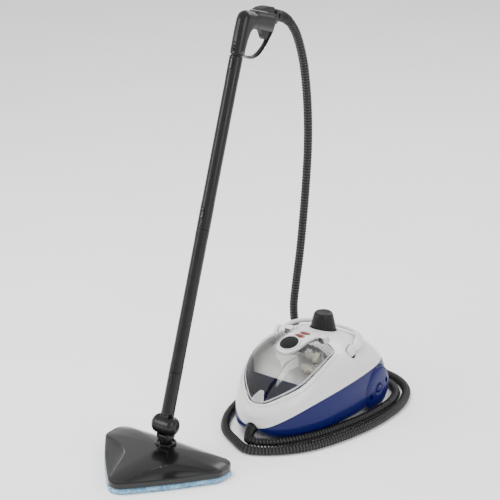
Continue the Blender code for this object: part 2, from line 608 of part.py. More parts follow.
def make_handle():
    """Carry handle: two lugs and a band that folds down over the rear crown."""
    path = [(0.1065, HANDLE_V, HANDLE_Z), (0.1060, HANDLE_V + 0.022, HANDLE_Z + 0.0040),
            (0.0985, HANDLE_V + 0.045, HANDLE_Z + 0.0065), (0.0850, HANDLE_V + 0.068, HANDLE_Z + 0.0070),
            (0.0640, HANDLE_V + 0.088, HANDLE_Z + 0.0055), (0.0350, HANDLE_V + 0.100, HANDLE_Z + 0.0030),
            (0.0120, HANDLE_V + 0.104, HANDLE_Z + 0.0020)]
    path += [(-x, v, z) for x, v, z in reversed(path)]
    points = smooth_route(path, 0.018)
    rings = []
    for i, here in enumerate(points):
        before, after = points[max(i - 1, 0)], points[min(i + 1, len(points) - 1)]
        along = (Vector(after) - Vector(before)).normalized()
        outward = Vector((here[0] * 0.9, (here[1] - 0.060) * 0.6, 0.105))
        side = along.cross(outward).normalized()
        thick = side.cross(along).normalized()
        half = min(0.0115, 0.0045 + 0.0035 * min(i, len(points) - 1 - i))
        rings.append([Vector(here) + thick * 0.0042 * math.copysign(abs(math.cos(a)) ** 0.7, math.cos(a))
                      + side * half * math.copysign(abs(math.sin(a)) ** 0.7, math.sin(a))
                      for a in (TAU * k / 12 for k in range(12))])
    band = loft("carry_handle", rings, CAN)
    for side in (-1, 1):
        lug = rod(f"lug_{side}", (side * 0.1025, HANDLE_V, HANDLE_Z), (side * 0.1120, HANDLE_V, HANDLE_Z),
                  0.0145, CAN, CUTS, 24)
        boolean(band, hide(lug), "UNION")
        bore = rod(f"lug_bore_{side}", (side * 0.095, HANDLE_V, HANDLE_Z), (side * 0.1105, HANDLE_V, HANDLE_Z),
                   0.0045, CAN, CUTS, 16)
        boolean(band, hide(bore))
        finish(turned("handle_pivot_" + ("right" if side > 0 else "left"),
                      [(0.0, 0.0110), (0.0040, 0.0110), (0.0040, -0.0120), (0.0, -0.0120)],
                      CAN, (side * 0.0985, HANDLE_V, HANDLE_Z), (side, 0, 0), 20), WHITE)
    finish(pivot(band, (0, HANDLE_V, HANDLE_Z)), WHITE)


def make_running_gear():
    """Base plate with axle posts, rear wheels on one axle, and a swivelling front caster."""
    half = [(min(0.78 * half_width(v) - 0.006, 0.1080), v)
            for v in [-0.160 + 0.325 * i / 22 for i in range(23)]]
    plate = prism("base_plate", [*half, *[(-x, v) for x, v in reversed(half)]], PLATE_LOW, PLATE_TOP, CAN)
    for side in (-1, 1):
        post = box(f"post_{side}", (side * 0.096 - 0.004, WHEEL_V - 0.011, 0.0225),
                   (side * 0.096 + 0.004, WHEEL_V + 0.011, WHEEL_Z + 0.009), CAN, CUTS)
        boolean(plate, hide(post), "UNION")
    boolean(plate, hide(rod("axle_bore", (-0.118, WHEEL_V, WHEEL_Z), (0.118, WHEEL_V, WHEEL_Z),
                            AXLE_R + GAP, CAN, CUTS, 20)))
    boolean(plate, hide(rod("caster_bore", (0, CASTER_V, 0.0), (0, CASTER_V, 0.05), 0.0162, CAN, CUTS, 24)))
    finish(plate, BLACK_MATT)
    finish(rod("rear_axle", (-0.1407, WHEEL_V, WHEEL_Z), (0.1407, WHEEL_V, WHEEL_Z), AXLE_R, CAN), STEEL)
    for side, word in ((1, "right"), (-1, "left")):
        depth = WHEEL_OUT - WHEEL_IN
        finish(turned("rear_wheel_" + word,
                      [(0.0115, depth - 0.002), (0.030, depth + 0.0015), (0.044, depth), (WHEEL_R - 0.003, depth - 0.005),
                       (WHEEL_R, depth - 0.010), (WHEEL_R, 0.002), (WHEEL_R - 0.002, 0.0), (0.011, 0.0),
                       (0.011, 0.004), (AXLE_R + 0.0005, 0.004), (AXLE_R + 0.0005, depth - 0.004),
                       (0.0115, depth - 0.004)],
                      CAN, (side * WHEEL_IN, WHEEL_V, WHEEL_Z), (side, 0, 0), 24, closed=True), BLUE)
        finish(turned("hub_cap_" + word,
                      [(0.0, 0.0060), (0.006, 0.0052), (0.0105, 0.0025), (0.0108, 0.0), (0.0, 0.0)],
                      CAN, (side * (WHEEL_OUT - 0.0034), WHEEL_V, WHEEL_Z), (side, 0, 0), 24), BLUE)
    wheel_v = CASTER_V + CASTER_TRAIL
    finish(turned("caster_fork", [(0.0, 0.0290), (0.0190, 0.0290), (0.0190, 0.0262), (0.0155, 0.0262),
                                  (0.0155, 0.0200), (0.0, 0.0200)],
                  CAN, (0, CASTER_V, 0), steps=20), BLACK_MATT)
    fork = bpy.data.objects["caster_fork"]
    for side in (-1, 1):
        cheek = box(f"cheek_{side}", (side * 0.0095 - 0.0015, wheel_v - 0.005, 0.0050),
                    (side * 0.0095 + 0.0015, wheel_v + 0.005, 0.0205), CAN, CUTS)
        boolean(fork, hide(cheek), "UNION")
    boolean(fork, hide(rod("caster_pin_cut", (-0.013, wheel_v, CASTER_R), (0.013, wheel_v, CASTER_R), 0.0018,
                           CAN, CUTS, 14)))
    wheel = rod("caster_wheel", (-0.0070, 0, 0), (0.0070, 0, 0), CASTER_R - 0.0002, CAN, sides=24)
    boolean(wheel, hide(rod("caster_stubs", (-0.0105, wheel_v, CASTER_R), (0.0105, wheel_v, CASTER_R), 0.0015,
                            CAN, CUTS, 14)), "UNION")
    wheel.location = (0, wheel_v, CASTER_R)
    finish(wheel, BLACK_MATT)


def make_connections():
    """Nose socket with the hose's elbow plugged in, and the mains gland at the back."""
    finish(turned("hose_socket", [(0.0042, 0.0120), (0.0105, 0.0120), (0.0148, 0.0090), (0.0148, -0.0040),
                                  (0.0042, -0.0040)],
                  CAN, SOCKET_BACK, SOCKET_AXIS, 28, closed=True), BLACK_SATIN)
    start = CANISTER + SOCKET_BACK + SOCKET_AXIS * 0.0138
    end = Vector(HOSE_FLOOR[0])
    route = [start, start + SOCKET_AXIS * 0.012, end - HOSE_START * 0.010, end]
    points = smooth_route(route, 0.006)
    radii = [1.0 + 0.16 * math.cos(math.pi * i / (len(points) - 1)) for i in range(len(points))]
    stop = (Vector(points[-1]) - Vector(points[-2])).normalized() * 0.0040
    points[-1] = tuple(Vector(points[-1]) - stop)
    finish(tube("hose_elbow", points, 0.0118, None, 3, radii), BLACK_SATIN)


# ------------------------------------------------------------------ hose

def make_hose():
    route = smooth_route([*HOSE_FLOOR, *HOSE_RISE[1:]], HOSE_STEP)
    route.insert(1, tuple(Vector(route[0]) + HOSE_START * 0.016))
    turn = Vector(HOSE_RISE[0])
    split = min(range(len(route)), key=lambda i: (Vector(route[i]) - turn).length)
    floor, rise = route[:split + 1], route[split:]
    for strand, end, beside in ((floor, -1, -2), (rise, 0, 1)):
        back = (Vector(strand[beside]) - Vector(strand[end])).normalized()
        strand[end] = tuple(Vector(strand[end]) + back * 0.0018)
    finish(tube("hose_floor_loop", floor, HOSE_D / 2, None, 2), RUBBER)
    finish(tube("hose_rise", rise, HOSE_D / 2, None, 2), RUBBER)


# ------------------------------------------------------------------ wand and handle

def make_tubes():
    lower = turned("lower_tube", [(SPIGOT_R, MID_SEAM + 0.062), (SPIGOT_R, MID_SEAM), (TUBE_R, MID_SEAM),
                                  (TUBE_R, LOW_SEAM + GAP), (SPIGOT_R, LOW_SEAM + GAP), (SPIGOT_R, LOW_SEAM - 0.050),
                                  (SPIGOT_BORE, LOW_SEAM - 0.050), (SPIGOT_BORE, MID_SEAM + 0.062)],
                   WAND, steps=18, closed=True)
    upper = turned("upper_tube", [(TUBE_R, TOP_SEAM), (TUBE_R, MID_SEAM + GAP), (TUBE_BORE, MID_SEAM + GAP),
                                  (TUBE_BORE, TOP_SEAM)],
                   WAND, steps=18, closed=True)
    spigot = turned("handle_spigot", [(0.0138, TOP_SEAM + 0.022), (0.0138, TOP_SEAM + 0.006),
                                      (SPIGOT_R, TOP_SEAM + 0.004), (SPIGOT_R, TOP_SEAM - 0.045),
                                      (SPIGOT_BORE, TOP_SEAM - 0.045), (SPIGOT_BORE, TOP_SEAM + 0.022)],
                    WAND, steps=18, closed=True)
    knuckle = make_knuckle()
    for name, s, walls in (("lower_lock_button", BUTTON_S[0], (lower, knuckle)),
                           ("middle_lock_button", BUTTON_S[1], (upper, lower)),
                           ("upper_lock_button", BUTTON_S[2], (upper, spigot))):
        slot = hide(button_oval(name + "_slot", s, -0.020, -0.0085, 0.0004, CUTS))
        for wall in walls:
            boolean(wall, slot)
        button = button_oval(name, s, -TUBE_R - 0.0010, -TUBE_R + 0.0030, 0.0, None)
        finish(pivot(button, (0, 0, s)), BLACK_GLOSS)
    for piece in (lower, upper):
        finish(piece, TUBE_BLACK)
    finish(spigot, BLACK_MATT)
    finish(knuckle, TUBE_BLACK)


def button_oval(name, s, low, high, grow, home):
    """Oval bar through the front of the wand at height s, from p=low to p=high."""
    outline = [((BUTTON_HALF_W + grow) * math.cos(TAU * i / 20), (BUTTON_HALF_L + grow) * math.sin(TAU * i / 20))
               for i in range(20)]
    made = prism(name, outline, low, high, WAND, home)
    turn = Matrix.Translation((0, 0, s)) @ Matrix(((1, 0, 0, 0), (0, 0, 1, 0), (0, 1, 0, 0), (0, 0, 0, 1)))
    made.data.transform(turn)
    made.data.flip_normals()
    return made


def make_knuckle():
    """Foot of the wand: a barrel on the joint pin and a stem with the lower tube's spigot."""
    knuckle = turned("wand_knuckle", [(TUBE_R, LOW_SEAM), (TUBE_R, 0.0260), (0.0140, 0.0232), (0.0, 0.0232),
                                      (0.0, 0.058), (TUBE_BORE, 0.060), (TUBE_BORE, LOW_SEAM)],
                     WAND, steps=20, closed=True)
    barrel = rod("barrel", (-BARREL_HALF, 0, 0), (BARREL_HALF, 0, 0), BARREL_R, WAND, CUTS, 22)
    web = box("barrel_web", (-0.0110, -0.0125, 0.0), (0.0110, 0.0125, 0.030), WAND, CUTS)
    bore = rod("barrel_bore", (-0.03, 0, 0), (0.03, 0, 0), 0.0038, WAND, CUTS, 20)
    boolean(knuckle, hide(web), "UNION")
    boolean(knuckle, hide(barrel), "UNION")
    boolean(knuckle, hide(bore))
    return knuckle


GRIP_OUTLINE = (
    (-0.0158, 0.8700), (-0.0166, 0.9050), (-0.0166, 0.9380), (-0.0155, 0.9560), (-0.0115, 0.9680),
    (-0.0030, 0.9745), (0.0090, 0.9765), (0.0240, 0.9755), (0.0360, 0.9780), (0.0385, 0.9800), (0.1125, 0.9800),
    (0.1130, 0.9905), (0.1235, 0.9915), (0.1240, 0.9640), (0.1215, 0.9560), (0.1190, 0.9480), (0.1178, 0.9350),
    (0.1148, 0.9230), (0.1080, 0.9080), (0.0985, 0.8945), (0.0850, 0.8790), (0.0740, 0.8720), (0.0600, 0.8680),
    (0.0450, 0.8674), (0.0300, 0.8690), (0.0158, 0.8700))
FINGER_HOLE = (
    (0.0188, 0.8775), (0.0195, 0.8920), (0.0215, 0.9080), (0.0260, 0.9240), (0.0310, 0.9320), (0.0380, 0.9345),
    (0.1112, 0.9345), (0.1095, 0.9240), (0.1040, 0.9110), (0.0950, 0.8980), (0.0830, 0.8860), (0.0720, 0.8790),
    (0.0590, 0.8748), (0.0440, 0.8740), (0.0280, 0.8750))
GRIP_CAVITY = (
    (-0.0125, 0.8680), (-0.0132, 0.9380), (-0.0120, 0.9540), (-0.0080, 0.9660), (0.0, 0.9710), (0.0230, 0.9722),
    (0.0360, 0.9745), (0.1085, 0.9745), (0.1085, 0.9565), (0.1125, 0.9560), (0.1125, 0.9330), (0.0380, 0.9330),
    (0.0380, 0.9375), (0.0290, 0.9360), (0.0220, 0.9260), (0.0178, 0.9090), (0.0158, 0.8920), (0.0150, 0.8680))
TRIGGER = ((0.0575, 0.9440), (0.0610, 0.9410), (0.0800, 0.9370), (0.0900, 0.9325), (0.0970, 0.9265),
           (0.1015, 0.9232), (0.1045, 0.9240), (0.1070, 0.9300), (0.1090, 0.9380), (0.1090, 0.9495),
           (0.0600, 0.9500), (0.0575, 0.9480))
TRIGGER_PIVOT = Vector((0.0, 0.0625, 0.9455))
LOCK = ((0.0420, 0.9805), (0.0420, 0.9815), (0.0530, 0.9878), (0.0700, 0.9925), (0.0887, 0.9952), (0.0980, 0.9952),
        (0.1030, 0.9930), (0.1045, 0.9890), (0.1045, 0.9805))
CUFF = ((0.1243, 0.9775), (0.1400, 0.9780), (0.1560, 0.9775), (0.1720, 0.9750), (0.1880, 0.9700))


def make_grip():
    """Steam gun: two shells with a finger loop, trigger, lock slider, valve, spring and hose cuff."""
    for name, low, high in (("handle_right_shell", GAP / 2, HALF_GRIP), ("handle_left_shell", -HALF_GRIP, -GAP / 2)):
        shell = prism(name, GRIP_OUTLINE, low, high, WAND, None, "YZ", (FINGER_HOLE,))
        round_outside(shell, low, high)
        boolean(shell, hide(prism(name + "_cavity", GRIP_CAVITY, -0.0092, 0.0092, WAND, CUTS, "YZ")))
        boolean(shell, hide(rod(name + "_pin_bore", (-0.013, *TRIGGER_PIVOT.yz), (0.013, *TRIGGER_PIVOT.yz),
                                0.0018, WAND, CUTS, 14)))
        boolean(shell, hide(rod(name + "_spigot_bore", (0, 0, 0.860), (0, 0, TOP_SEAM + 0.0225), 0.0141,
                                WAND, CUTS, 24)))
        finish(shell, TUBE_BLACK)
    trigger = prism("trigger", TRIGGER, -0.0065, 0.0065, WAND, None, "YZ")
    boolean(trigger, hide(rod("trigger_pin", (-0.0125, *TRIGGER_PIVOT.yz), (0.0125, *TRIGGER_PIVOT.yz), 0.0015,
                              WAND, CUTS, 14)), "UNION")
    finish(pivot(trigger, TRIGGER_PIVOT), BLACK_SATIN)
    lock = round_edges(prism("steam_lock", LOCK, -0.0110, 0.0110, WAND, None, "YZ"), 0.0012, 1)
    finish(pivot(lock, (0, 0.0730, 0.9805)), BLACK_SATIN)
    finish(rod("handle_valve", (0, 0.0700, 0.9680), (0, 0.1080, 0.9680), 0.0055, WAND, sides=16), BRASS)
    points = [(0.0, p, s) for p, s in CUFF]
    radii = [1.22, 1.16, 1.10, 1.03, 0.96]
    finish(tube("hose_cuff", points, 0.0122, WAND, 3, radii), BLACK_MATT)


def round_outside(shell, low, high):
    """Bevel only the rim on the shell's outer face."""
    outer = high if abs(high) > abs(low) else low
    weights = shell.data.attributes.new("bevel_weight_edge", "FLOAT", "EDGE")
    for edge in shell.data.edges:
        ends = [shell.data.vertices[i].co.x for i in edge.vertices]
        weights.data[edge.index].value = 1.0 if all(abs(x - outer) < 1e-5 for x in ends) else 0.0
    step = shell.modifiers.new("rim", "BEVEL")
    step.width = 0.0045
    step.segments = 1
    step.limit_method = "WEIGHT"


# ------------------------------------------------------------------ mop head

def rounded_corners(points, radius, steps=4):
    """Outline of a polygon with arcs at its corners."""
    outline = []
    for i in range(len(points)):
        here, before, after = (Vector(points[(i + k) % len(points)]) for k in (0, -1, 1))
        to_before, to_after = (before - here).normalized(), (after - here).normalized()
        half = to_before.angle(to_after) / 2
        middle = here + (to_before + to_after).normalized() * (radius / math.sin(half))
        start = here + to_before * (radius / math.tan(half)) - middle
        end = here + to_after * (radius / math.tan(half)) - middle
        first, last = math.atan2(start.y, start.x), math.atan2(end.y, end.x)
        sweep = (last - first + math.pi) % TAU - math.pi
        outline += [tuple(middle + radius * Vector((math.cos(first + sweep * k / steps),
                                                    math.sin(first + sweep * k / steps))))
                    for k in range(steps + 1)]
    return outline


def bowed_head():
    """Head outline with each side bowed out a little, more points along the sides."""
    corner = rounded_corners(HEAD_POINTS, HEAD_FILLET)
    outline = []
    count = len(corner)
    for i in range(count):
        a, b = Vector(corner[i]), Vector(corner[(i + 1) % count])
        outline.append(tuple(a))
        length = (b - a).length
        if length > 0.08:
            normal = Vector((b.y - a.y, a.x - b.x)).normalized()
            if normal.dot((a + b) / 2 - HEAD_MIDDLE) < 0:
                normal = -normal
            for t in (0.25, 0.5, 0.75):
                outline.append(tuple(a + (b - a) * t + normal * 0.004 * math.sin(math.pi * t)))
    return outline


def head_ring(outline, scale, z, inset=0.0):
    ring = []
    for point in outline:
        arm = Vector(point) - HEAD_MIDDLE
        arm = arm * scale
        arm -= arm.normalized() * inset
        ring.append(Vector((HEAD_MIDDLE.x + arm.x, HEAD_MIDDLE.y + arm.y, z)))
    return ring


def make_head():
    outline = bowed_head()
    pad = prism("mop_pad", outline, 0.0, PAD_T, HEAD)
    round_edges(pad, 0.003, 1)
    finish(pad, MICROFIBRE)
    sole = prism("head_sole", inset_outline(outline, 0.004), PAD_T + GAP, PAD_T + GAP + SOLE_T, HEAD)
    finish(sole, BLACK_MATT)
    rings = [head_ring(outline, scale * 0.985, z) for scale, z in COVER_RINGS]
    inner = [head_ring(outline, scale * 0.985, z - (COVER_WALL if i else 0.002), COVER_WALL)
             for i, (scale, z) in enumerate(COVER_RINGS)]
    cover = loft("head_cover", rings, HEAD)
    boolean(cover, hide(loft("cover_hollow", inner, HEAD, CUTS)))
    collar = turned("cover_collar", [(0.0, 0.0480), (0.0250, 0.0480), (0.0250, 0.0203), (0.0, 0.0203)], HEAD,
                    steps=28, home=CUTS)
    boolean(cover, hide(collar), "UNION")
    boolean(cover, hide(rod("cover_bore", (0, 0, 0.01), (0, 0, 0.08), 0.0145, HEAD, CUTS, 20)))
    boolean(cover, hide(rod("cover_pocket", (0, 0, 0.01), (0, 0, 0.0384), 0.0204, HEAD, CUTS, 20)))
    finish(cover, BLACK_GLOSS)

    neck = turned("head_neck", [(0.0, 0.0660), (0.0132, 0.0660), (0.0140, 0.0420), (0.0140, 0.0378), (0.0196, 0.0368),
                                (0.0196, 0.0235), (0.0, 0.0235)], None, steps=20)
    yoke = box("yoke", (-0.0168, -0.0118, 0.0580), (0.0168, 0.0118, 0.0712), None, CUTS)
    boolean(neck, hide(yoke), "UNION")
    for side in (-1, 1):
        ear = rod(f"neck_ear_{side}", (side * 0.0125, 0, JOINT_Z), (side * 0.0173, 0, JOINT_Z), 0.0203, None, CUTS, 22)
        cheek = box(f"neck_cheek_{side}", (side * 0.0149 - 0.0021, -0.0108, 0.0625),
                    (side * 0.0149 + 0.0021, 0.0108, 0.0860), None, CUTS)
        boolean(neck, hide(cheek), "UNION")
        boolean(neck, hide(ear), "UNION")
        finish(turned("joint_cap_" + ("right" if side > 0 else "left"),
                      [(0.0, 0.0150), (0.0060, 0.0146), (0.0120, 0.0128), (0.0170, 0.0098), (0.0205, 0.0058),
                       (0.0222, 0.0015), (0.0222, 0.0), (0.0, 0.0)],
                      None, (side * (0.0173 + GAP), 0, JOINT_Z), (side, 0, 0), 20), TUBE_BLACK)
    boolean(neck, hide(rod("neck_pin_bore", (-0.018, 0, JOINT_Z), (0.018, 0, JOINT_Z), 0.0038, None, CUTS, 20)))
    finish(neck, TUBE_BLACK)
    finish(rod("joint_pin", (-0.0171, 0, JOINT_Z), (0.0171, 0, JOINT_Z), 0.0034, None, sides=20), STEEL)


# ------------------------------------------------------------------ build

SWITCH_V = -0.059
LAMP_V = (-0.0150, 0.0080)
LAMP_HALF = (0.0140, 0.0092)
HANDLE_V, HANDLE_Z = 0.050, 0.1735
SOCKET_BACK = Vector((0.0, -0.1985, 0.0500))
SOCKET_AXIS = Vector((0.0, -0.90, -0.44)).normalized()

for old in list(bpy.context.scene.objects):
    bpy.data.objects.remove(old)
PARTS = collection(COLLECTION)
CUTS = collection("cutters")

WHITE = material("white_gloss", (0.80, 0.81, 0.83), 0.25)
BLUE = material("blue_gloss", (0.015, 0.025, 0.22), 0.22)
NAVY = material("navy_plastic", (0.010, 0.014, 0.075), 0.35)
BLACK_GLOSS = material("black_gloss", (0.012, 0.012, 0.013), 0.14)
BLACK_SATIN = material("black_satin", (0.016, 0.016, 0.017), 0.38)
BLACK_MATT = material("black_matt", (0.020, 0.020, 0.021), 0.60)
TUBE_BLACK = material("tube_black", (0.022, 0.022, 0.023), 0.42)
CLEAR = material("smoked_clear", (0.55, 0.56, 0.58), 0.06, 0.0, 0.35)
RED = material("red_lens", (0.42, 0.02, 0.02), 0.18)
RUBBER = material("hose_rubber", (0.014, 0.014, 0.014), 0.50)
MICROFIBRE = material("microfibre", (0.42, 0.66, 0.80), 0.95)
IVORY = material("ivory_plastic", (0.78, 0.76, 0.70), 0.40)
STEEL = material("steel", (0.62, 0.63, 0.64), 0.30, 1.0)
BRASS = material("brass", (0.72, 0.55, 0.26), 0.32, 1.0)
COPPER = material("copper", (0.75, 0.42, 0.30), 0.30, 1.0)

CAN = empty("canister_frame", CANISTER)
WAND = empty("wand_frame", (0, 0, JOINT_Z), (-LEAN, 0, 0))
HEAD = empty("head_frame", (0, 0, 0))

make_shells()
make_panel()
make_lid()
make_compartment()
make_boiler()
make_cap()
make_handle()
make_running_gear()
make_connections()
make_hose()
make_tubes()
make_grip()
make_head()
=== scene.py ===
"""Looks for the steam mop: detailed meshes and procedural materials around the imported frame, metres, +Z up."""

import json
import math
import random

import bmesh
import bpy
import mathutils
import numpy as np
from mathutils import Matrix, Vector, noise


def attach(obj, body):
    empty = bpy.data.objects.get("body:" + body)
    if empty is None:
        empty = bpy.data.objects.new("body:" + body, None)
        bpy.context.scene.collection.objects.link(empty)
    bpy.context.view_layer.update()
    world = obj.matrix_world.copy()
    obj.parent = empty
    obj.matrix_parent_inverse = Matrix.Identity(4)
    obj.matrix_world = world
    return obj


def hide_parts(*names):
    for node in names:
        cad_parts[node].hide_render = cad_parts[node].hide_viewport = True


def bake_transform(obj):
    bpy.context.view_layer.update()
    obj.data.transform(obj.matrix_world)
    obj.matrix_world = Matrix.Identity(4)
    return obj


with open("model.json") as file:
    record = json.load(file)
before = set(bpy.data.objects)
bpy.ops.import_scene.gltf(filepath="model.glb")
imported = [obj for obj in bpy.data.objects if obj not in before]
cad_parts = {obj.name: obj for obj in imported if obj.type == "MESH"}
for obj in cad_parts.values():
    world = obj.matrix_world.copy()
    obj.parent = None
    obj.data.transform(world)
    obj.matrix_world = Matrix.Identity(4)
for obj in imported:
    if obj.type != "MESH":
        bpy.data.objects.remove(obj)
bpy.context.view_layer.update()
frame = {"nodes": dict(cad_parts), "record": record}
TAU = 2 * math.pi

# ------------------------------------------------------------------ shared numbers (as in the CAD part)

CANISTER = Vector((0.114, 0.400, 0.0))
HALF_LENGTH, HALF_WIDTH, WIDEST_V, WAIST_Z, KEEL = 0.217, 0.144, 0.085, 0.075, 0.071
CREST = ((-0.217, 0.0), (-0.210, 0.015), (-0.190, 0.033), (-0.143, 0.078), (-0.094, 0.118),
         (-0.045, 0.133), (0.014, 0.132), (0.073, 0.122), (0.132, 0.104), (0.177, 0.075),
         (0.207, 0.036), (0.217, 0.0))
FRONT_POWER, REAR_POWER, CROWN_POWER, KEEL_POWER = 2.05, 2.9, 2.4, 5.0
SHELL, SKIRT_Z = 0.003, 0.014
SPLIT_START, SPLIT_RISE, SPLIT_FADE = 0.046, 0.074, 0.095
LID_HALF = ((0.0, -0.199), (0.020, -0.1945), (0.039, -0.181), (0.058, -0.163), (0.074, -0.1425),
            (0.086, -0.120), (0.093, -0.095), (0.0965, -0.068), (0.0968, -0.040), (0.095, -0.012),
            (0.090, 0.004), (0.080, 0.010), (0.056, 0.0135), (0.0375, 0.0145), (0.0335, 0.010),
            (0.0320, -0.030), (0.0310, -0.058), (0.0265, -0.075), (0.0150, -0.088), (0.0, -0.092))
LATCH_HALF = ((0.0, -0.1959), (0.0095, -0.1949), (0.0173, -0.1925), (0.0161, -0.1890), (0.0085, -0.1770),
              (0.0045, -0.1735), (0.0, -0.1725))
NOTCH_HALF = ((0.0, -0.2100), (0.0187, -0.2100), (0.0187, -0.1940), (0.0172, -0.1896), (0.0092, -0.1766),
              (0.0050, -0.1728), (0.0, -0.1717))
LID_AXIS = Vector((0.0, 0.0185, 0.2085))
TILT_PANEL = math.radians(20)
PANEL_LIFT = 0.0012
SWITCH_V, LAMP_V, LAMP_HALF = -0.059, (-0.0150, 0.0080), (0.0140, 0.0092)
BOILER_V, WELL_R = 0.087, 0.0362
WHEEL_V, WHEEL_Z, WHEEL_R, WHEEL_IN, WHEEL_OUT = 0.119, 0.0572, 0.0570, 0.1225, 0.1445
HANDLE_V, HANDLE_Z = 0.050, 0.1735
SOCKET_BACK = Vector((0.0, -0.1985, 0.0500))
SOCKET_AXIS = Vector((0.0, -0.90, -0.44)).normalized()
JOINT_Z, LEAN = 0.095, math.radians(19.1)
TUBE_R, TUBE_BORE, SPIGOT_R = 0.0158, 0.0134, 0.0131
LOW_SEAM, MID_SEAM, TOP_SEAM = 0.1250, 0.4653, 0.8695
BUTTON_S = (0.1060, 0.5026, 0.8510)
HEAD_POINTS = ((0.0, -0.2155), (0.1690, -0.0170), (0.1690, 0.0470), (-0.1690, 0.0470), (-0.1690, -0.0170))
HEAD_FILLET, HEAD_MIDDLE = 0.032, Vector((0.0, -0.020))
HOSE_R = 0.01075
HOSE_START = Vector((0.0140, 0.0010, -0.0050)).normalized()
HOSE_FLOOR = (
    (0.1300, 0.1640, 0.0232), (0.1490, 0.1720, 0.0210), (0.1770, 0.1960, 0.0195),
    (0.2010, 0.2290, 0.0185), (0.2250, 0.2740, 0.0175), (0.2430, 0.3250, 0.0160),
    (0.2580, 0.3900, 0.0135), (0.2690, 0.4550, 0.0115), (0.2735, 0.5100, 0.0110),
    (0.2700, 0.5650, 0.0110), (0.2500, 0.6120, 0.0110), (0.2060, 0.6430, 0.0110),
    (0.1400, 0.6560, 0.0110), (0.0700, 0.6530, 0.0110), (0.0080, 0.6300, 0.0110),
    (-0.0280, 0.5880, 0.0110), (-0.0440, 0.5200, 0.0110), (-0.0440, 0.4400, 0.0110),
    (-0.0350, 0.3600, 0.0110), (-0.0200, 0.2880, 0.0110), (0.0020, 0.2350, 0.0110),
    (0.0330, 0.1930, 0.0110), (0.0790, 0.1635, 0.0110), (0.1310, 0.1410, 0.0110),
    (0.1760, 0.1630, 0.0110), (0.2130, 0.1960, 0.0110), (0.2450, 0.2400, 0.0110),
    (0.2680, 0.2930, 0.0110), (0.2860, 0.3530, 0.0110), (0.2990, 0.4200, 0.0110),
    (0.3040, 0.4850, 0.0110), (0.3010, 0.5450, 0.0110), (0.2880, 0.5950, 0.0110),
    (0.2620, 0.6400, 0.0110), (0.2140, 0.6740, 0.0110), (0.1460, 0.6890, 0.0110),
    (0.0750, 0.6890, 0.0110))
HOSE_RISE = (
    (0.0100, 0.6820, 0.0125), (-0.0440, 0.6720, 0.0290),
    (-0.0790, 0.6600, 0.0720), (-0.0860, 0.6520, 0.1350), (-0.0770, 0.6480, 0.2100),
    (-0.0620, 0.6420, 0.3000), (-0.0480, 0.6350, 0.4000), (-0.0360, 0.6280, 0.5000),
    (-0.0240, 0.6170, 0.6000), (-0.0130, 0.5980, 0.7000), (-0.0050, 0.5750, 0.7900),
    (0.0, 0.5520, 0.8550), (0.0, 0.5270, 0.9120), (0.0, 0.4990, 0.9480))

CAN_M = Matrix.Translation(CANISTER)
WAND_M = Matrix.Translation((0, 0, JOINT_Z)) @ Matrix.Rotation(-LEAN, 4, "X")

# ------------------------------------------------------------------ camera, light, floor

CAMERA_AT = Vector((2.7636, -3.5364, 2.3443))
AZIMUTH, ELEVATION = math.radians(35.5), math.radians(22.0)
BACK = Vector((math.sin(AZIMUTH) * math.cos(ELEVATION), -math.cos(AZIMUTH) * math.cos(ELEVATION),
               math.sin(ELEVATION)))
camera = bpy.data.objects.new("camera", bpy.data.cameras.new("camera"))
bpy.context.scene.collection.objects.link(camera)
camera.location = CAMERA_AT
camera.rotation_euler = (-BACK).to_track_quat("-Z", "Y").to_euler()
camera.data.lens, camera.data.sensor_width = 154.8, 36.0
bpy.context.scene.camera = camera


def area_light(name, place, target, size, power, mirrored_in_lid=True):
    light = bpy.data.lights.new(name, "AREA")
    light.shape = "RECTANGLE"
    light.size, light.size_y = size
    light.energy = power
    made = bpy.data.objects.new(name, light)
    bpy.context.scene.collection.objects.link(made)
    made.visible_glossy = mirrored_in_lid
    made.location = place
    made.rotation_euler = (Vector(target) - Vector(place)).to_track_quat("-Z", "Y").to_euler()


area_light("key", (-0.7, -0.3, 3.2), (0.05, 0.20, 0.1), (1.7, 1.7), 130, mirrored_in_lid=False)
area_light("front", (-2.2, -2.6, 1.9), (0.05, 0.2, 0.3), (1.2, 1.8), 55)
area_light("side", (3.0, -0.6, 1.7), (0.1, 0.3, 0.3), (1.4, 2.0), 40)
area_light("rear", (0.2, 3.2, 2.4), (0.05, 0.3, 0.4), (2.4, 1.2), 50)
world = bpy.data.worlds.new("studio")
bpy.context.scene.world = world
world.use_nodes = True
world.node_tree.nodes["Background"].inputs["Color"].default_value = (1.0, 1.0, 1.0, 1.0)
world.node_tree.nodes["Background"].inputs["Strength"].default_value = 1.0


# ------------------------------------------------------------------ materials

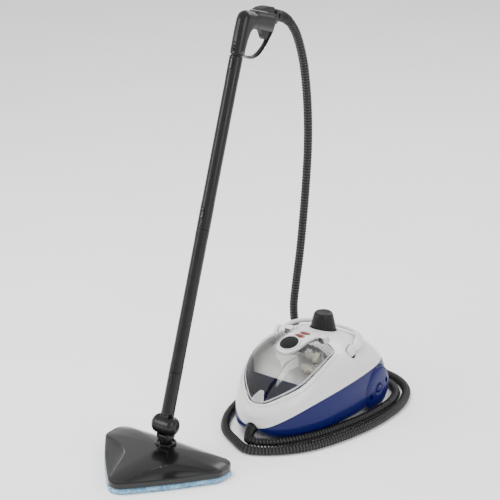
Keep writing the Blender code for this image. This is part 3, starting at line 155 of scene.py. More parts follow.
class Shader:
    """Small builder for one Principled material."""

    def __init__(self, name, rough=0.4, metallic=0.0, **sockets):
        self.mat = bpy.data.materials.new(name)
        self.mat.use_nodes = True
        self.tree = self.mat.node_tree
        self.bsdf = self.tree.nodes["Principled BSDF"]
        self.bsdf.inputs["Roughness"].default_value = rough
        self.bsdf.inputs["Metallic"].default_value = metallic
        for key, value in sockets.items():
            self.bsdf.inputs[key.replace("_", " ")].default_value = value
        self.coords = self.node("ShaderNodeTexCoord").outputs["Object"]

    def node(self, kind, **inputs):
        made = self.tree.nodes.new(kind)
        for key, value in inputs.items():
            made.inputs[key.replace("_", " ")].default_value = value
        return made

    def link(self, a, b):
        self.tree.links.new(a, b)

    def noise(self, scale, detail=3.0, rough=0.55, stretch=None):
        made = self.node("ShaderNodeTexNoise", Scale=scale, Detail=detail, Roughness=rough)
        source = self.coords
        if stretch:
            warp = self.node("ShaderNodeMapping", Scale=stretch)
            self.link(source, warp.inputs["Vector"])
            source = warp.outputs["Vector"]
        self.link(source, made.inputs["Vector"])
        return made.outputs["Fac"]

    def ramp(self, value, low, high, start=0.0, end=1.0):
        """Map start..end of a value to low..high."""
        made = self.node("ShaderNodeMapRange")
        made.clamp = True
        for key, number in (("From Min", start), ("From Max", end), ("To Min", low), ("To Max", high)):
            made.inputs[key].default_value = number
        self.link(value, made.inputs["Value"])
        return made.outputs["Result"]

    def colours(self, value, stops):
        made = self.tree.nodes.new("ShaderNodeValToRGB")
        ramp = made.color_ramp
        while len(ramp.elements) < len(stops):
            ramp.elements.new(0.5)
        for element, (spot, colour) in zip(ramp.elements, stops):
            element.position = spot
            element.color = (*colour, 1.0)
        self.link(value, made.inputs["Fac"])
        self.link(made.outputs["Color"], self.bsdf.inputs["Base Color"])
        return made

    def roughness(self, value):
        self.link(value, self.bsdf.inputs["Roughness"])

    def bump(self, value, strength, distance=0.0003, after=None):
        made = self.node("ShaderNodeBump", Strength=strength, Distance=distance)
        self.link(value, made.inputs["Height"])
        if after:
            self.link(after, made.inputs["Normal"])
        self.link(made.outputs["Normal"], self.bsdf.inputs["Normal"])
        return made.outputs["Normal"]

    def worn_edges(self, amount=0.5):
        """0 in flats, up to 1 on convex edges."""
        geometry = self.node("ShaderNodeNewGeometry")
        return self.ramp(geometry.outputs["Pointiness"], 0.0, amount, 0.52, 0.60)


def tinted(colour, gain):
    return tuple(min(1.0, c * gain) for c in colour)


def plastic(name, colour, rough, spread=0.05, grain=0.0, grain_scale=900.0, coat=0.0, vary=0.06, shine=0.5):
    """Moulded plastic: slow tone and gloss changes, fine orange peel or a spark-eroded grain."""
    made = Shader(name, rough, Coat_Weight=coat, Coat_Roughness=0.08, Specular_IOR_Level=shine)
    slow = made.noise(9.0, 4.0)
    made.colours(slow, ((0.30, tinted(colour, 1 - vary)), (0.70, tinted(colour, 1 + vary))))
    smudge = made.noise(38.0, 5.0, 0.65)
    made.roughness(made.ramp(smudge, max(0.03, rough - spread), rough + spread, 0.35, 0.65))
    peel = made.bump(made.noise(150.0, 2.0), 0.05, 0.0002)
    if grain:
        made.bump(made.noise(grain_scale, 2.0, 0.6), grain, 0.0001, peel)
    return made.mat


def metal(name, colour, rough, stretch=(1.0, 1.0, 14.0)):
    made = Shader(name, rough, 1.0)
    lines = made.noise(420.0, 3.0, 0.6, stretch)
    made.colours(made.noise(14.0, 3.0), ((0.3, tinted(colour, 0.86)), (0.7, tinted(colour, 1.06))))
    made.roughness(made.ramp(lines, rough - 0.08, rough + 0.12, 0.3, 0.7))
    made.bump(lines, 0.12, 0.00008)
    return made.mat


def clear_plastic(name):
    made = Shader(name, 0.05, Transmission_Weight=1.0, IOR=1.46)
    made.colours(made.noise(7.0, 2.0), ((0.3, (0.80, 0.80, 0.79)), (0.7, (0.86, 0.86, 0.85))))
    made.roughness(made.ramp(made.noise(60.0, 5.0, 0.7), 0.02, 0.09, 0.4, 0.75))
    made.bump(made.noise(55.0, 2.0), 0.03, 0.0002)
    return made.mat


def lens_red():
    made = Shader("lens_red", 0.16, Transmission_Weight=0.15, IOR=1.49, Coat_Weight=0.5, Coat_Roughness=0.05)
    ribs = made.node("ShaderNodeTexWave", Scale=120.0, Distortion=0.0)
    made.link(made.coords, ribs.inputs["Vector"])
    made.colours(made.noise(60.0, 3.0), ((0.3, (0.13, 0.006, 0.006)), (0.7, (0.20, 0.013, 0.010))))
    made.bump(ribs.outputs["Fac"], 0.25, 0.0002)
    return made.mat


def cloth_blue():
    """Microfibre pile: clumps of loops, lighter tips, soft sheen."""
    made = Shader("microfibre_pile", 0.92, Sheen_Weight=0.45, Sheen_Roughness=0.45)
    tufts = made.node("ShaderNodeTexVoronoi", Scale=420.0, Randomness=1.0)
    made.link(made.coords, tufts.inputs["Vector"])
    clump = made.noise(75.0, 4.0, 0.6)
    mixed = made.node("ShaderNodeMath")
    mixed.operation = "MULTIPLY_ADD"
    made.link(tufts.outputs["Distance"], mixed.inputs[0])
    mixed.inputs[1].default_value = -0.55
    made.link(clump, mixed.inputs[2])
    made.colours(mixed.outputs["Value"], ((0.05, (0.09, 0.22, 0.36)), (0.30, (0.22, 0.45, 0.65)),
                                          (0.58, (0.58, 0.76, 0.87))))
    made.bump(mixed.outputs["Value"], 0.8, 0.0012)
    return made.mat


WHITE = plastic("white_abs", (0.66, 0.66, 0.655), 0.24, 0.06, 0.08, 1100.0, 0.20, 0.02)
BLUE = plastic("blue_abs", (0.0030, 0.0054, 0.080), 0.30, 0.03, 0.04, 1000.0, 0.12, 0.03, 0.16)
NAVY = plastic("navy_pp", (0.0040, 0.0066, 0.058), 0.36, 0.06, 0.30, 800.0, 0.0, 0.12, 0.25)
GLOSS = plastic("black_gloss_abs", (0.0030, 0.0030, 0.0032), 0.22, 0.05, 0.05, 900.0, 0.20, 0.15, 0.35)
SATIN = plastic("black_satin_abs", (0.0036, 0.0036, 0.0038), 0.38, 0.07, 0.30, 700.0, 0.0, 0.15, 0.30)
MATT = plastic("black_matt_pp", (0.0042, 0.0042, 0.0044), 0.56, 0.08, 0.50, 620.0, 0.0, 0.15, 0.28)
TUBE = plastic("black_tube_abs", (0.0048, 0.0048, 0.0050), 0.34, 0.07, 0.30, 560.0, 0.05, 0.15, 0.32)
RUBBER = plastic("hose_black", (0.0030, 0.0030, 0.0032), 0.26, 0.08, 0.15, 500.0, 0.0, 0.15, 0.50)
IVORY = plastic("ivory_pp", (0.66, 0.62, 0.53), 0.42, 0.06, 0.25, 700.0)
CLEAR = clear_plastic("smoked_clear_pc")
# Frosted translucent plastic for the lid's rim bead and latch; its pale grey-white colour is a painted edge highlight.
PAINTED_EDGE_HIGHLIGHT = Shader("frosted_clear_painted_highlight", 0.22, Transmission_Weight=0.55, IOR=1.46)
PAINTED_EDGE_HIGHLIGHT.colours(PAINTED_EDGE_HIGHLIGHT.noise(60.0, 3.0), ((0.3, (0.66, 0.67, 0.68)), (0.7, (0.80, 0.81, 0.82))))
PAINTED_EDGE_HIGHLIGHT.bump(PAINTED_EDGE_HIGHLIGHT.noise(220.0, 3.0), 0.08, 0.0002)
PAINTED_EDGE_HIGHLIGHT = PAINTED_EDGE_HIGHLIGHT.mat
RED = lens_red()
CLOTH = cloth_blue()
STEEL = metal("steel_plain", (0.58, 0.59, 0.60), 0.30)
BRASS = metal("brass_plain", (0.70, 0.53, 0.25), 0.32)
COPPER = metal("copper_plain", (0.72, 0.40, 0.28), 0.30)
BY_SLOT = {"white_gloss": WHITE, "blue_gloss": BLUE, "navy_plastic": NAVY, "black_gloss": GLOSS,
           "black_satin": SATIN, "black_matt": MATT, "tube_black": TUBE, "smoked_clear": CLEAR,
           "red_lens": RED, "hose_rubber": RUBBER, "microfibre": CLOTH, "ivory_plastic": IVORY,
           "steel": STEEL, "brass": BRASS, "copper": COPPER}

# every CAD node first gets its slot's procedural material; detailed pieces then stand for some of them
SLOT_OF = {row["node"]: row["material_slot"] for row in frame["record"]["subparts"]}
for node_name, node in frame["nodes"].items():
    for i in range(len(node.material_slots)):
        node.material_slots[i].material = BY_SLOT[SLOT_OF[node_name]]
    if not node.material_slots:
        node.data.materials.append(BY_SLOT[SLOT_OF[node_name]])

BODY_OF = {n: b for b, names in frame["record"]["behaviour"]["bodies"].items() for n in names}


# ------------------------------------------------------------------ mesh helpers

def link_mesh(name, shape, matrix=None):
    mesh = bpy.data.meshes.new(name)
    bmesh.ops.recalc_face_normals(shape, faces=shape.faces)
    shape.to_mesh(mesh)
    shape.free()
    if matrix is not None:
        mesh.transform(matrix)
    made = bpy.data.objects.new(name, mesh)
    bpy.context.scene.collection.objects.link(made)
    return made


def bake(obj):
    """Apply all modifiers."""
    bpy.context.view_layer.update()
    mesh = bpy.data.meshes.new_from_object(obj.evaluated_get(bpy.context.evaluated_depsgraph_get()))
    old = obj.data
    obj.modifiers.clear()
    obj.data = mesh
    if old.users == 0 and isinstance(old, bpy.types.Mesh):
        bpy.data.meshes.remove(old)
    return obj


def cut(target, *tools, how="DIFFERENCE"):
    """Boolean with each tool, which is then removed."""
    for tool in tools:
        step = target.modifiers.new("cut", "BOOLEAN")
        step.operation, step.object = how, tool
    bake(target)
    for tool in tools:
        bpy.data.objects.remove(tool)
    return target


def bevel(obj, width, segments=2, angle=40):
    step = obj.modifiers.new("bevel", "BEVEL")
    step.width, step.segments, step.limit_method = width, segments, "ANGLE"
    step.angle_limit = math.radians(angle)
    step.harden_normals = False
    return bake(obj)


def place(obj, node, material, body=None, also=(), weighted=True, sharp=32, matrix=None):
    """Finish a piece: material, shading, and the CAD node (and body) that it stands for."""
    if matrix is not None:
        obj.data.transform(matrix)
    obj.data.materials.clear()
    obj.data.materials.append(material)
    shape = bmesh.new()
    shape.from_mesh(obj.data)
    bmesh.ops.remove_doubles(shape, verts=shape.verts, dist=2e-6)
    bmesh.ops.dissolve_degenerate(shape, edges=shape.edges, dist=1e-6)
    shape.to_mesh(obj.data)
    shape.free()
    obj.data.shade_smooth()
    obj.data.set_sharp_from_angle(angle=math.radians(sharp))
    if weighted:
        step = obj.modifiers.new("normals", "WEIGHTED_NORMAL")
        step.keep_sharp = True
        bake(obj)
    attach(obj, body or BODY_OF[node])
    if node:
        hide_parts(node, *also)
    return obj


def axis_matrix(origin, direction):
    turn = Vector(direction).to_track_quat("Z", "Y").to_matrix().to_4x4()
    return Matrix.Translation(Vector(origin)) @ turn


def rod(start, end, radius, sides=64, radius_end=None, name="tool"):
    start, end = Vector(start), Vector(end)
    shape = bmesh.new()
    bmesh.ops.create_cone(shape, cap_ends=True, segments=sides, radius1=radius,
                          radius2=radius if radius_end is None else radius_end, depth=(end - start).length)
    return link_mesh(name, shape, axis_matrix((start + end) / 2, end - start))


def box(low, high, name="tool"):
    shape = bmesh.new()
    bmesh.ops.create_cube(shape, size=1.0)
    low, high = Vector(low), Vector(high)
    return link_mesh(name, shape, Matrix.Translation((low + high) / 2) @ Matrix.Diagonal((*(high - low), 1.0)))


def spun(name, profile, steps=96, wave=None, matrix=None, closed=True):
    """Ring profile of (radius, height) turned about Z; wave(angle, i) scales a ring's radius."""
    shape = bmesh.new()
    rows = []
    for i, (radius, height) in enumerate(profile):
        if radius < 1e-7:
            rows.append([shape.verts.new((0, 0, height))])
            continue
        row = []
        for k in range(steps):
            angle = TAU * k / steps
            r = radius * (wave(angle, i) if wave else 1.0)
            row.append(shape.verts.new((r * math.cos(angle), r * math.sin(angle), height)))
        rows.append(row)
    pairs = list(zip(rows, rows[1:])) + ([(rows[-1], rows[0])] if closed else [])
    for low, high in pairs:
        for k in range(steps):
            n = (k + 1) % steps
            corners = [low[k % len(low)], low[n % len(low)], high[n % len(high)], high[k % len(high)]]
            corners = [v for j, v in enumerate(corners) if v not in corners[:j]]
            if len(corners) > 2:
                shape.faces.new(corners)
    return link_mesh(name, shape, matrix)


def rounded(points, radius, steps=4, loop=True):
    """Polyline with its corners rounded off by arcs of up to radius."""
    result = []
    count = len(points)
    for i in range(count):
        here = Vector(points[i])
        if not loop and i in (0, count - 1):
            result.append(tuple(here))
            continue
        before, after = Vector(points[i - 1]), Vector(points[(i + 1) % count])
        a, b = before - here, after - here
        reach = min(radius, 0.42 * a.length, 0.42 * b.length)
        if reach < 1e-6 or a.angle(-b) < math.radians(3):
            result.append(tuple(here))
            continue
        start, end = here + a.normalized() * reach, here + b.normalized() * reach
        for k in range(steps + 1):
            t = k / steps
            result.append(tuple(start * (1 - t) ** 2 + here * 2 * t * (1 - t) + end * t * t))
    return result


def smooth_route(points, step, loop=False):
    """Points a step apart along a smooth curve through the given ones."""
    points = [Vector(p) for p in points]
    if loop:
        ends = [points[-1], *points, points[0], points[1]]
    else:
        ends = [2 * points[0] - points[1], *points, 2 * points[-1] - points[-2]]
    fine = []
    for a, b, c, d in zip(ends, ends[1:], ends[2:], ends[3:]):
        for t in np.linspace(0, 1, 24, endpoint=False):
            fine.append(0.5 * ((2 * b) + (c - a) * t + (2 * a - 5 * b + 4 * c - d) * t * t
                               + (3 * b - a - 3 * c + d) * t ** 3))
    fine.append(points[0] if loop else points[-1])
    along = np.concatenate([[0.0], np.cumsum([(q - p).length for p, q in zip(fine, fine[1:])])])
    count = max(2, round(along[-1] / step) + 1)
    spots = np.linspace(0.0, along[-1], count)
    columns = [np.interp(spots, along, [p[i] for p in fine]) for i in range(len(points[0]))]
    made = [tuple(float(x) for x in row) for row in zip(*columns)]
    return made[:-1] if loop else made


def prism(outline, low, high, plane="XY", name="tool", holes=()):
    """Flat outline extruded between two levels of the axis that it faces."""
    curve = bpy.data.curves.new(name, "CURVE")
    curve.dimensions, curve.fill_mode, curve.extrude = "2D", "BOTH", (high - low) / 2
    for loop in (outline, *holes):
        spline = curve.splines.new("POLY")
        spline.points.add(len(loop) - 1)
        for point, (x, y) in zip(spline.points, loop):
            point.co = (x, y, 0.0, 1.0)
        spline.use_cyclic_u = True
    flat = bpy.data.objects.new(name, curve)
    bpy.context.scene.collection.objects.link(flat)
    bpy.context.view_layer.update()
    mesh = bpy.data.meshes.new_from_object(flat.evaluated_get(bpy.context.evaluated_depsgraph_get()))
    shape = bmesh.new()
    shape.from_mesh(mesh)
    bmesh.ops.remove_doubles(shape, verts=shape.verts, dist=1e-6)
    bpy.data.objects.remove(flat)
    bpy.data.meshes.remove(mesh)
    turns = {"XY": Matrix.Identity(4),
             "YZ": Matrix(((0, 0, 1, 0), (1, 0, 0, 0), (0, 1, 0, 0), (0, 0, 0, 1))),
             "XZ": Matrix(((1, 0, 0, 0), (0, 0, -1, 0), (0, 1, 0, 0), (0, 0, 0, 1)))}
    return link_mesh(name, shape, turns[plane] @ Matrix.Translation((0, 0, (low + high) / 2)))


def loft(rings, name="tool", cap=True):
    shape = bmesh.new()
    rows = [[shape.verts.new(p) for p in ring] for ring in rings]
    count = len(rows[0])
    for low, high in zip(rows, rows[1:]):
        for i in range(count):
            shape.faces.new((low[i], low[(i + 1) % count], high[(i + 1) % count], high[i]))
    if cap:
        shape.faces.new(rows[0])
        shape.faces.new(rows[-1])
    return link_mesh(name, shape)


def tube_along(path, radius_at, sides=20, name="tube", cap=True, flat=None):
    """Tube over path points; radius_at(i) gives each ring's radius; frames don't twist."""
    path = [Vector(p) for p in path]
    tangents = [(path[min(i + 1, len(path) - 1)] - path[max(i - 1, 0)]).normalized() for i in range(len(path))]
    normal = tangents[0].orthogonal().normalized()
    rings = []
    for i, (point, tangent) in enumerate(zip(path, tangents)):
        normal = (normal - tangent * normal.dot(tangent)).normalized()
        side = tangent.cross(normal)
        r = radius_at(i)
        rings.append([point + (normal * math.cos(TAU * k / sides) + side * math.sin(TAU * k / sides)) * r
                      for k in range(sides)])
    return loft(rings, name, cap)


# ------------------------------------------------------------------ the hose

def hose_path(step):
    route = smooth_route([*HOSE_FLOOR, *HOSE_RISE], step)
    return route


RIB_PITCH, RIB_DEPTH, RIB_RINGS = 0.0080, 0.0030, 8


def ribbed_rubber():
    """Hose plastic: rib crests carry a painted highlight (lighter colour) and are smoother; the grooves carry painted
    shade (darker colour).
    """
    made = Shader("hose_black", 0.3, Specular_IOR_Level=0.45)
    rib = made.node("ShaderNodeAttribute")
    rib.attribute_name = "raised"
    painted_crest_light = made.node("ShaderNodeMath")
    painted_crest_light.operation = "MULTIPLY"
    made.link(rib.outputs["Fac"], painted_crest_light.inputs[0])
    made.link(made.ramp(made.noise(60.0, 4.0), 0.75, 1.0, 0.3, 0.7), painted_crest_light.inputs[1])
    # painted shade in the grooves (dark) and painted highlight on the crests (ten times lighter), crests varied a
    # little by random tone noise
    made.colours(painted_crest_light.outputs["Value"], ((0.15, (0.0012, 0.0012, 0.0013)), (0.80, (0.0120, 0.0120, 0.0125))))
    made.roughness(made.ramp(painted_crest_light.outputs["Value"], 0.60, 0.22, 0.3, 0.9))
    made.bump(made.noise(500.0, 2.0), 0.12, 0.0001)
    return made.mat


def make_hose():
    """Corrugated hose over its whole route: square-shouldered ribs with rounded crests."""
    step = RIB_PITCH / RIB_RINGS
    path = hose_path(step)
    crest = (0.0, 0.0, 0.05, 0.86, 1.0, 1.0, 0.86, 0.05)

    def radius(i):
        if i < 3 or i > len(path) - 4:
            return HOSE_R - RIB_DEPTH
        return HOSE_R + 0.0003 - RIB_DEPTH * (1 - crest[i % RIB_RINGS])

    hose = tube_along(path, radius, 22, "hose")
    # crest height per vertex, 0 in grooves to 1 on crests; the hose material paints light on the crests and shade in
    # the grooves from it
    raised = hose.data.attributes.new("raised", "FLOAT", "POINT")
    raised.data.foreach_set("value", [max(0.0, radius(k // 22) - HOSE_R + RIB_DEPTH) / RIB_DEPTH
                                      for k in range(len(hose.data.vertices))])
    hose.data.materials.append(ribbed_rubber())
    hose.data.shade_smooth()
    centre = path[::RIB_RINGS] + [path[-1]]
    length = sum((Vector(b) - Vector(a)).length for a, b in zip(centre, centre[1:]))
    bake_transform(hose)
    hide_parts("hose_floor_loop", "hose_rise")
    return length


# ------------------------------------------------------------------ floor

floor_shape = bmesh.new()
bmesh.ops.create_grid(floor_shape, x_segments=2, y_segments=2, size=30.0)
floor = link_mesh("floor", floor_shape)
floor_look = Shader("studio_floor", 0.75)
floor_look.colours(floor_look.noise(3.0, 2.0), ((0.3, (0.90, 0.90, 0.90)), (0.7, (0.93, 0.93, 0.93))))
floor.data.materials.append(floor_look.mat)

make_hose()

# ------------------------------------------------------------------ canister surface


def through(points, x):
    xs = [p[0] for p in points]
    ys = [p[1] for p in points]
    slopes = np.gradient(ys, xs)
    i = int(np.clip(np.searchsorted(xs, x) - 1, 0, len(xs) - 2))
    width = xs[i + 1] - xs[i]
    t = (x - xs[i]) / width
    return (ys[i] * (1 + 2 * t) * (1 - t) ** 2 + slopes[i] * width * t * (1 - t) ** 2
            + ys[i + 1] * t * t * (3 - 2 * t) + slopes[i + 1] * width * t * t * (t - 1))


def half_width(v):
    front = v < WIDEST_V
    reach = (WIDEST_V + HALF_LENGTH) if front else (HALF_LENGTH - WIDEST_V)
    power = FRONT_POWER if front else REAR_POWER
    return HALF_WIDTH * max(0.0, 1 - (abs(v - WIDEST_V) / reach) ** power) ** (1 / power)


def crest(v):
    return max(0.0, through(CREST, v))


def keel(v):
    return KEEL * max(0.0, 1 - abs(v / HALF_LENGTH) ** 6) ** 0.4


def surface_z(u, v):
    w = max(half_width(v), 1e-6)
    return WAIST_Z + crest(v) * max(0.0, 1 - min(1.0, abs(u) / w) ** CROWN_POWER) ** (1 / CROWN_POWER)


STATIONS, RING = 110, 144


def body_ring(v, inset, bulge=None):
    long = v * HALF_LENGTH / (HALF_LENGTH - inset)
    wide = max(half_width(long) - inset, 0.0004)
    up, down = max(crest(long) - inset, 0.0003), max(keel(long) - inset, 0.0003)
    ring = []
    for i in range(RING):
        angle = TAU * (i + 0.5) / RING
        c, s = math.cos(angle), math.sin(angle)
        power = CROWN_POWER if s >= 0 else KEEL_POWER
        x = wide * math.copysign(abs(c) ** (2 / power), c)
        rise = (up if s >= 0 else down) * math.copysign(abs(s) ** (2 / power), s)
        point = Vector((x, v, WAIST_Z + rise))
        if bulge:
            point.x += math.copysign(bulge(point), x)
        ring.append(point)
    return ring


def body_solid(inset, bulge=None):
    reach = HALF_LENGTH - inset - 0.0002
    spots = [-reach * math.cos(math.pi * i / (STATIONS - 1)) for i in range(STATIONS)]
    return loft([body_ring(v, inset, bulge) for v in spots])


def split_height(v):
    return SPLIT_START + SPLIT_RISE * (1 - math.exp(-max(0.0, v + HALF_LENGTH - 0.003) / SPLIT_FADE))


def split_tool(offset, below):
    reach = HALF_LENGTH + 0.02
    line = [(v, split_height(v) + offset) for v in np.linspace(-reach, reach, 120)]
    level = -0.05 if below else 0.35
    return prism([*line, (reach, level), (-reach, level)], -0.2, 0.2, "YZ")


def mirrored(half):
    return [*half, *[(-x, y) for x, y in reversed(half[1:-1])]]


def inset_outline(outline, distance):
    moved = []
    count = len(outline)
    area = sum(outline[i][0] * outline[(i + 1) % count][1] - outline[(i + 1) % count][0] * outline[i][1]
               for i in range(count))
    side = 1 if area > 0 else -1
    for i in range(count):
        before, here, after = (Vector(outline[(i + k) % count]) for k in (-1, 0, 1))
        along = ((here - before).normalized() + (after - here).normalized()).normalized()
        moved.append(tuple(here + Vector((-along.y, along.x)) * side * distance))
    return moved


def lid_outline(inset=0.0):
    """Lid window with its curve smoothed and its rear corners small."""
    half = LID_HALF
    front = smooth_route([Vector(p) for p in [(-half[1][0], half[1][1]), *half[:10]]], 0.004)
    front = [p for p in front if p[0] >= 0]
    back = smooth_route([Vector(p) for p in [half[14], *half[15:], (-half[18][0], half[18][1])]], 0.003)
    back = [p for p in back if p[0] >= 0]
    line = [(0.0, half[0][1]), *front[1:], *rounded([front[-1], *half[10:14], back[0]], 0.006, 4, False)[1:-1],
            *back[:-1], (0.0, half[19][1])]
    clean = [line[0]]
    for p in line[1:]:
        if (Vector(p) - Vector(clean[-1])).length > 0.0009:
            clean.append(p)
    outline = mirrored(clean)
    return inset_outline(outline, inset) if inset else outline


def panel_normal():
    return Vector((0.0, -math.sin(TILT_PANEL), math.cos(TILT_PANEL)))


def panel_point(depth):
    return Vector((0.0, SWITCH_V, WAIST_Z + crest(SWITCH_V))) + panel_normal() * (depth + PANEL_LIFT)


# ------------------------------------------------------------------ shells

def crease(point):
    """Lower shell: the flank steps out a little under a soft horizontal crease."""
    line = 0.052 + 0.024 * max(0.0, min(1.0, (point.y + 0.20) / 0.30))
    t = max(0.0, min(1.0, (line - point.z) / 0.003))
    return 0.0012 * t * t * (3 - 2 * t) * min(1.0, half_width(point.y) / 0.06)


def groove(side):
    """Shallow line in the skin just outside the lid's front and side edges."""
    strips = []
    for out in (0.0066, 0.0052):
        line = [p for p in lid_outline(-out)[1:80] if p[0] > 0.0 and p[1] < 0.002 and (p[0] > 0.045 or p[1] < -0.12)]
        strips.append([(side * x, v) for x, v in line])
    tool = prism([*strips[0], *reversed(strips[1])], 0.08, 0.25)
    return cut(tool, body_solid(0.0010))


def make_shells():
    upper = body_solid(0.0)
    cut(upper, body_solid(SHELL), split_tool(0.00025, True), prism(lid_outline(), 0.085, 0.25),
        rod((0, BOILER_V, 0.12), (0, BOILER_V, 0.26), WELL_R + 0.0003, 96),
        rod(panel_point(-0.02), panel_point(0.03), 0.0268, 96),
        rod(SOCKET_BACK - SOCKET_AXIS * 0.02, SOCKET_BACK + SOCKET_AXIS * 0.06, 0.0155, 64))
    for v in LAMP_V:
        cut(upper, prism(oval(0, v, LAMP_HALF[0] + 0.0004, LAMP_HALF[1] + 0.0004), 0.17, 0.25))
    for side in (-1, 1):
        cut(upper, rod((side * 0.0982, HANDLE_V, HANDLE_Z), (side * 0.16, HANDLE_V, HANDLE_Z), 0.0162, 64))
        cut(upper, rod((side * 0.0830, HANDLE_V, HANDLE_Z), (side * 0.0981, HANDLE_V, HANDLE_Z), 0.0152, 64),
            how="UNION")
        for near, far in ((0.0345, 0.0392), (0.0588, 0.0635)):
            low, high = sorted((side * near, side * far))
            ear = box((low, LID_AXIS.y - 0.0022, 0.1925), (high, LID_AXIS.y + 0.0032, 0.2112))
            cut(upper, ear, how="UNION")
    for side in (-1, 1):
        cut(upper, groove(side))
    bevel(upper, 0.0004, 2, 50)
    place(upper, "upper_shell", WHITE, matrix=CAN_M)
    upper.name = "upper_shell_fine"

    lower = body_solid(0.0, crease)
    cut(lower, body_solid(SHELL), split_tool(-0.00025, False),
        box((-0.2, -0.25, -0.05), (0.2, 0.25, SKIRT_Z)),
        rod(SOCKET_BACK - SOCKET_AXIS * 0.02, SOCKET_BACK + SOCKET_AXIS * 0.06, 0.0155, 64))
    for side in (-1, 1):
        cut(lower, rod((side * (WHEEL_IN - 0.0025), WHEEL_V, WHEEL_Z), (side * 0.17, WHEEL_V, WHEEL_Z),
                       WHEEL_R + 0.0016, 128))
    bevel(lower, 0.0005, 2, 50)
    place(lower, "lower_shell", BLUE, matrix=CAN_M)
    lower.name = "lower_shell_fine"


def oval(x, y, half_x, half_y, steps=48):
    return [(x + half_x * math.cos(TAU * i / steps), y + half_y * math.sin(TAU * i / steps)) for i in range(steps)]


def skin_patch(outline, top, bottom, low=0.080, step=None):
    """Solid between two insets of the body skin, inside an outline seen from above."""
    made = prism(outline, low, 0.25)
    cut(made, body_solid(top), how="INTERSECT")
    cut(made, body_solid(bottom))
    return made


def make_lid():
    lid = skin_patch(lid_outline(0.0006), -0.0002, 0.0020)
    cut(lid, prism(mirrored(NOTCH_HALF), 0.06, 0.26))
    for side in (-1, 1):
        arm = box((side * 0.049 - 0.008, 0.0030, 0.1985), (side * 0.049 + 0.008, 0.0112, 0.2100))
        bridge = box((side * 0.049 - 0.0085, 0.0070, 0.2065), (side * 0.049 + 0.0085, LID_AXIS.y, 0.2105))
        knuckle = rod((side * 0.0402, LID_AXIS.y, LID_AXIS.z), (side * 0.0578, LID_AXIS.y, LID_AXIS.z), 0.0031, 40)
        cut(lid, arm, bridge, knuckle, how="UNION")
    bevel(lid, 0.0004, 2, 50)
    place(lid, "clear_lid", CLEAR, matrix=CAN_M)
    lid.name = "clear_lid_fine"
    lid.data.materials.append(WHITE)
    for face in lid.data.polygons:
        if face.center.y - CANISTER.y > 0.0035 and face.center.z > 0.1975:
            face.material_index = 1

    # Rim bead round the lid in the pale frosted material: a painted highlight line along the lid edge.
    rim_outer, rim_inner = lid_outline(0.0028), lid_outline(0.0046)
    rim = prism(rim_outer, 0.08, 0.25, holes=(rim_inner,))
    cut(rim, body_solid(-0.0009), how="INTERSECT")
    cut(rim, body_solid(0.0003), prism(mirrored(NOTCH_HALF), 0.06, 0.26))
    bevel(rim, 0.00025, 1, 50)
    place(rim, None, PAINTED_EDGE_HIGHLIGHT, "lid", matrix=CAN_M)
    rim.name = "lid_rim_bead"

    # Latch in the same pale frosted material, so its colour paints the edge highlights.
    latch = skin_patch(mirrored(LATCH_HALF), -0.0010, 0.0022, 0.098)
    for x in (-0.0072, -0.0024, 0.0024, 0.0072):
        cut(latch, rod((x, -0.1985, 0.1057), (x * 0.55, -0.1800, 0.1247), 0.0009, 12), how="UNION")
    bevel(latch, 0.0003, 1, 50)
    place(latch, "lid_latch", PAINTED_EDGE_HIGHLIGHT, matrix=CAN_M)
    latch.name = "lid_latch_fine"


def make_panel():
    normal = panel_normal()
    ring = [(0.0264, -0.006), (0.0264, 0.0014), (0.0260, 0.0028), (0.0252, 0.0036), (0.0243, 0.0036),
            (0.0236, 0.0028), (0.0233, 0.0014), (0.0232, -0.006)]
    bezel = spun("switch_bezel_fine", ring, 96, matrix=CAN_M @ axis_matrix(panel_point(0.0), normal))
    place(bezel, "switch_bezel", WHITE)
    face = [(0.0, -0.0055), (0.0227, -0.0055), (0.0228, 0.0000), (0.0224, 0.0012), (0.0215, 0.0019),
            (0.0190, 0.0021), (0.0183, 0.0017), (0.0176, 0.0021), (0.012, 0.0030), (0.006, 0.0033), (0.0, 0.0034)]
    button = spun("power_button_fine", face, 96, matrix=CAN_M @ axis_matrix(panel_point(0.0), normal), closed=False)
    place(button, "power_button", SATIN)
    for node, v in zip(("indicator_lens_front", "indicator_lens_rear"), LAMP_V):
        rings = []
        for scale, height in ((1.0, -0.004), (1.0, 0.0006), (0.96, 0.0014), (0.86, 0.0019), (0.60, 0.0023),
                              (0.25, 0.0025)):
            outline = oval(0, v, LAMP_HALF[0] * scale, LAMP_HALF[1] * scale)
            rings.append([Vector((x, y, surface_z(x, y) + height)) for x, y in outline])
        place(loft(rings, node + "_fine"), node, RED, matrix=CAN_M)


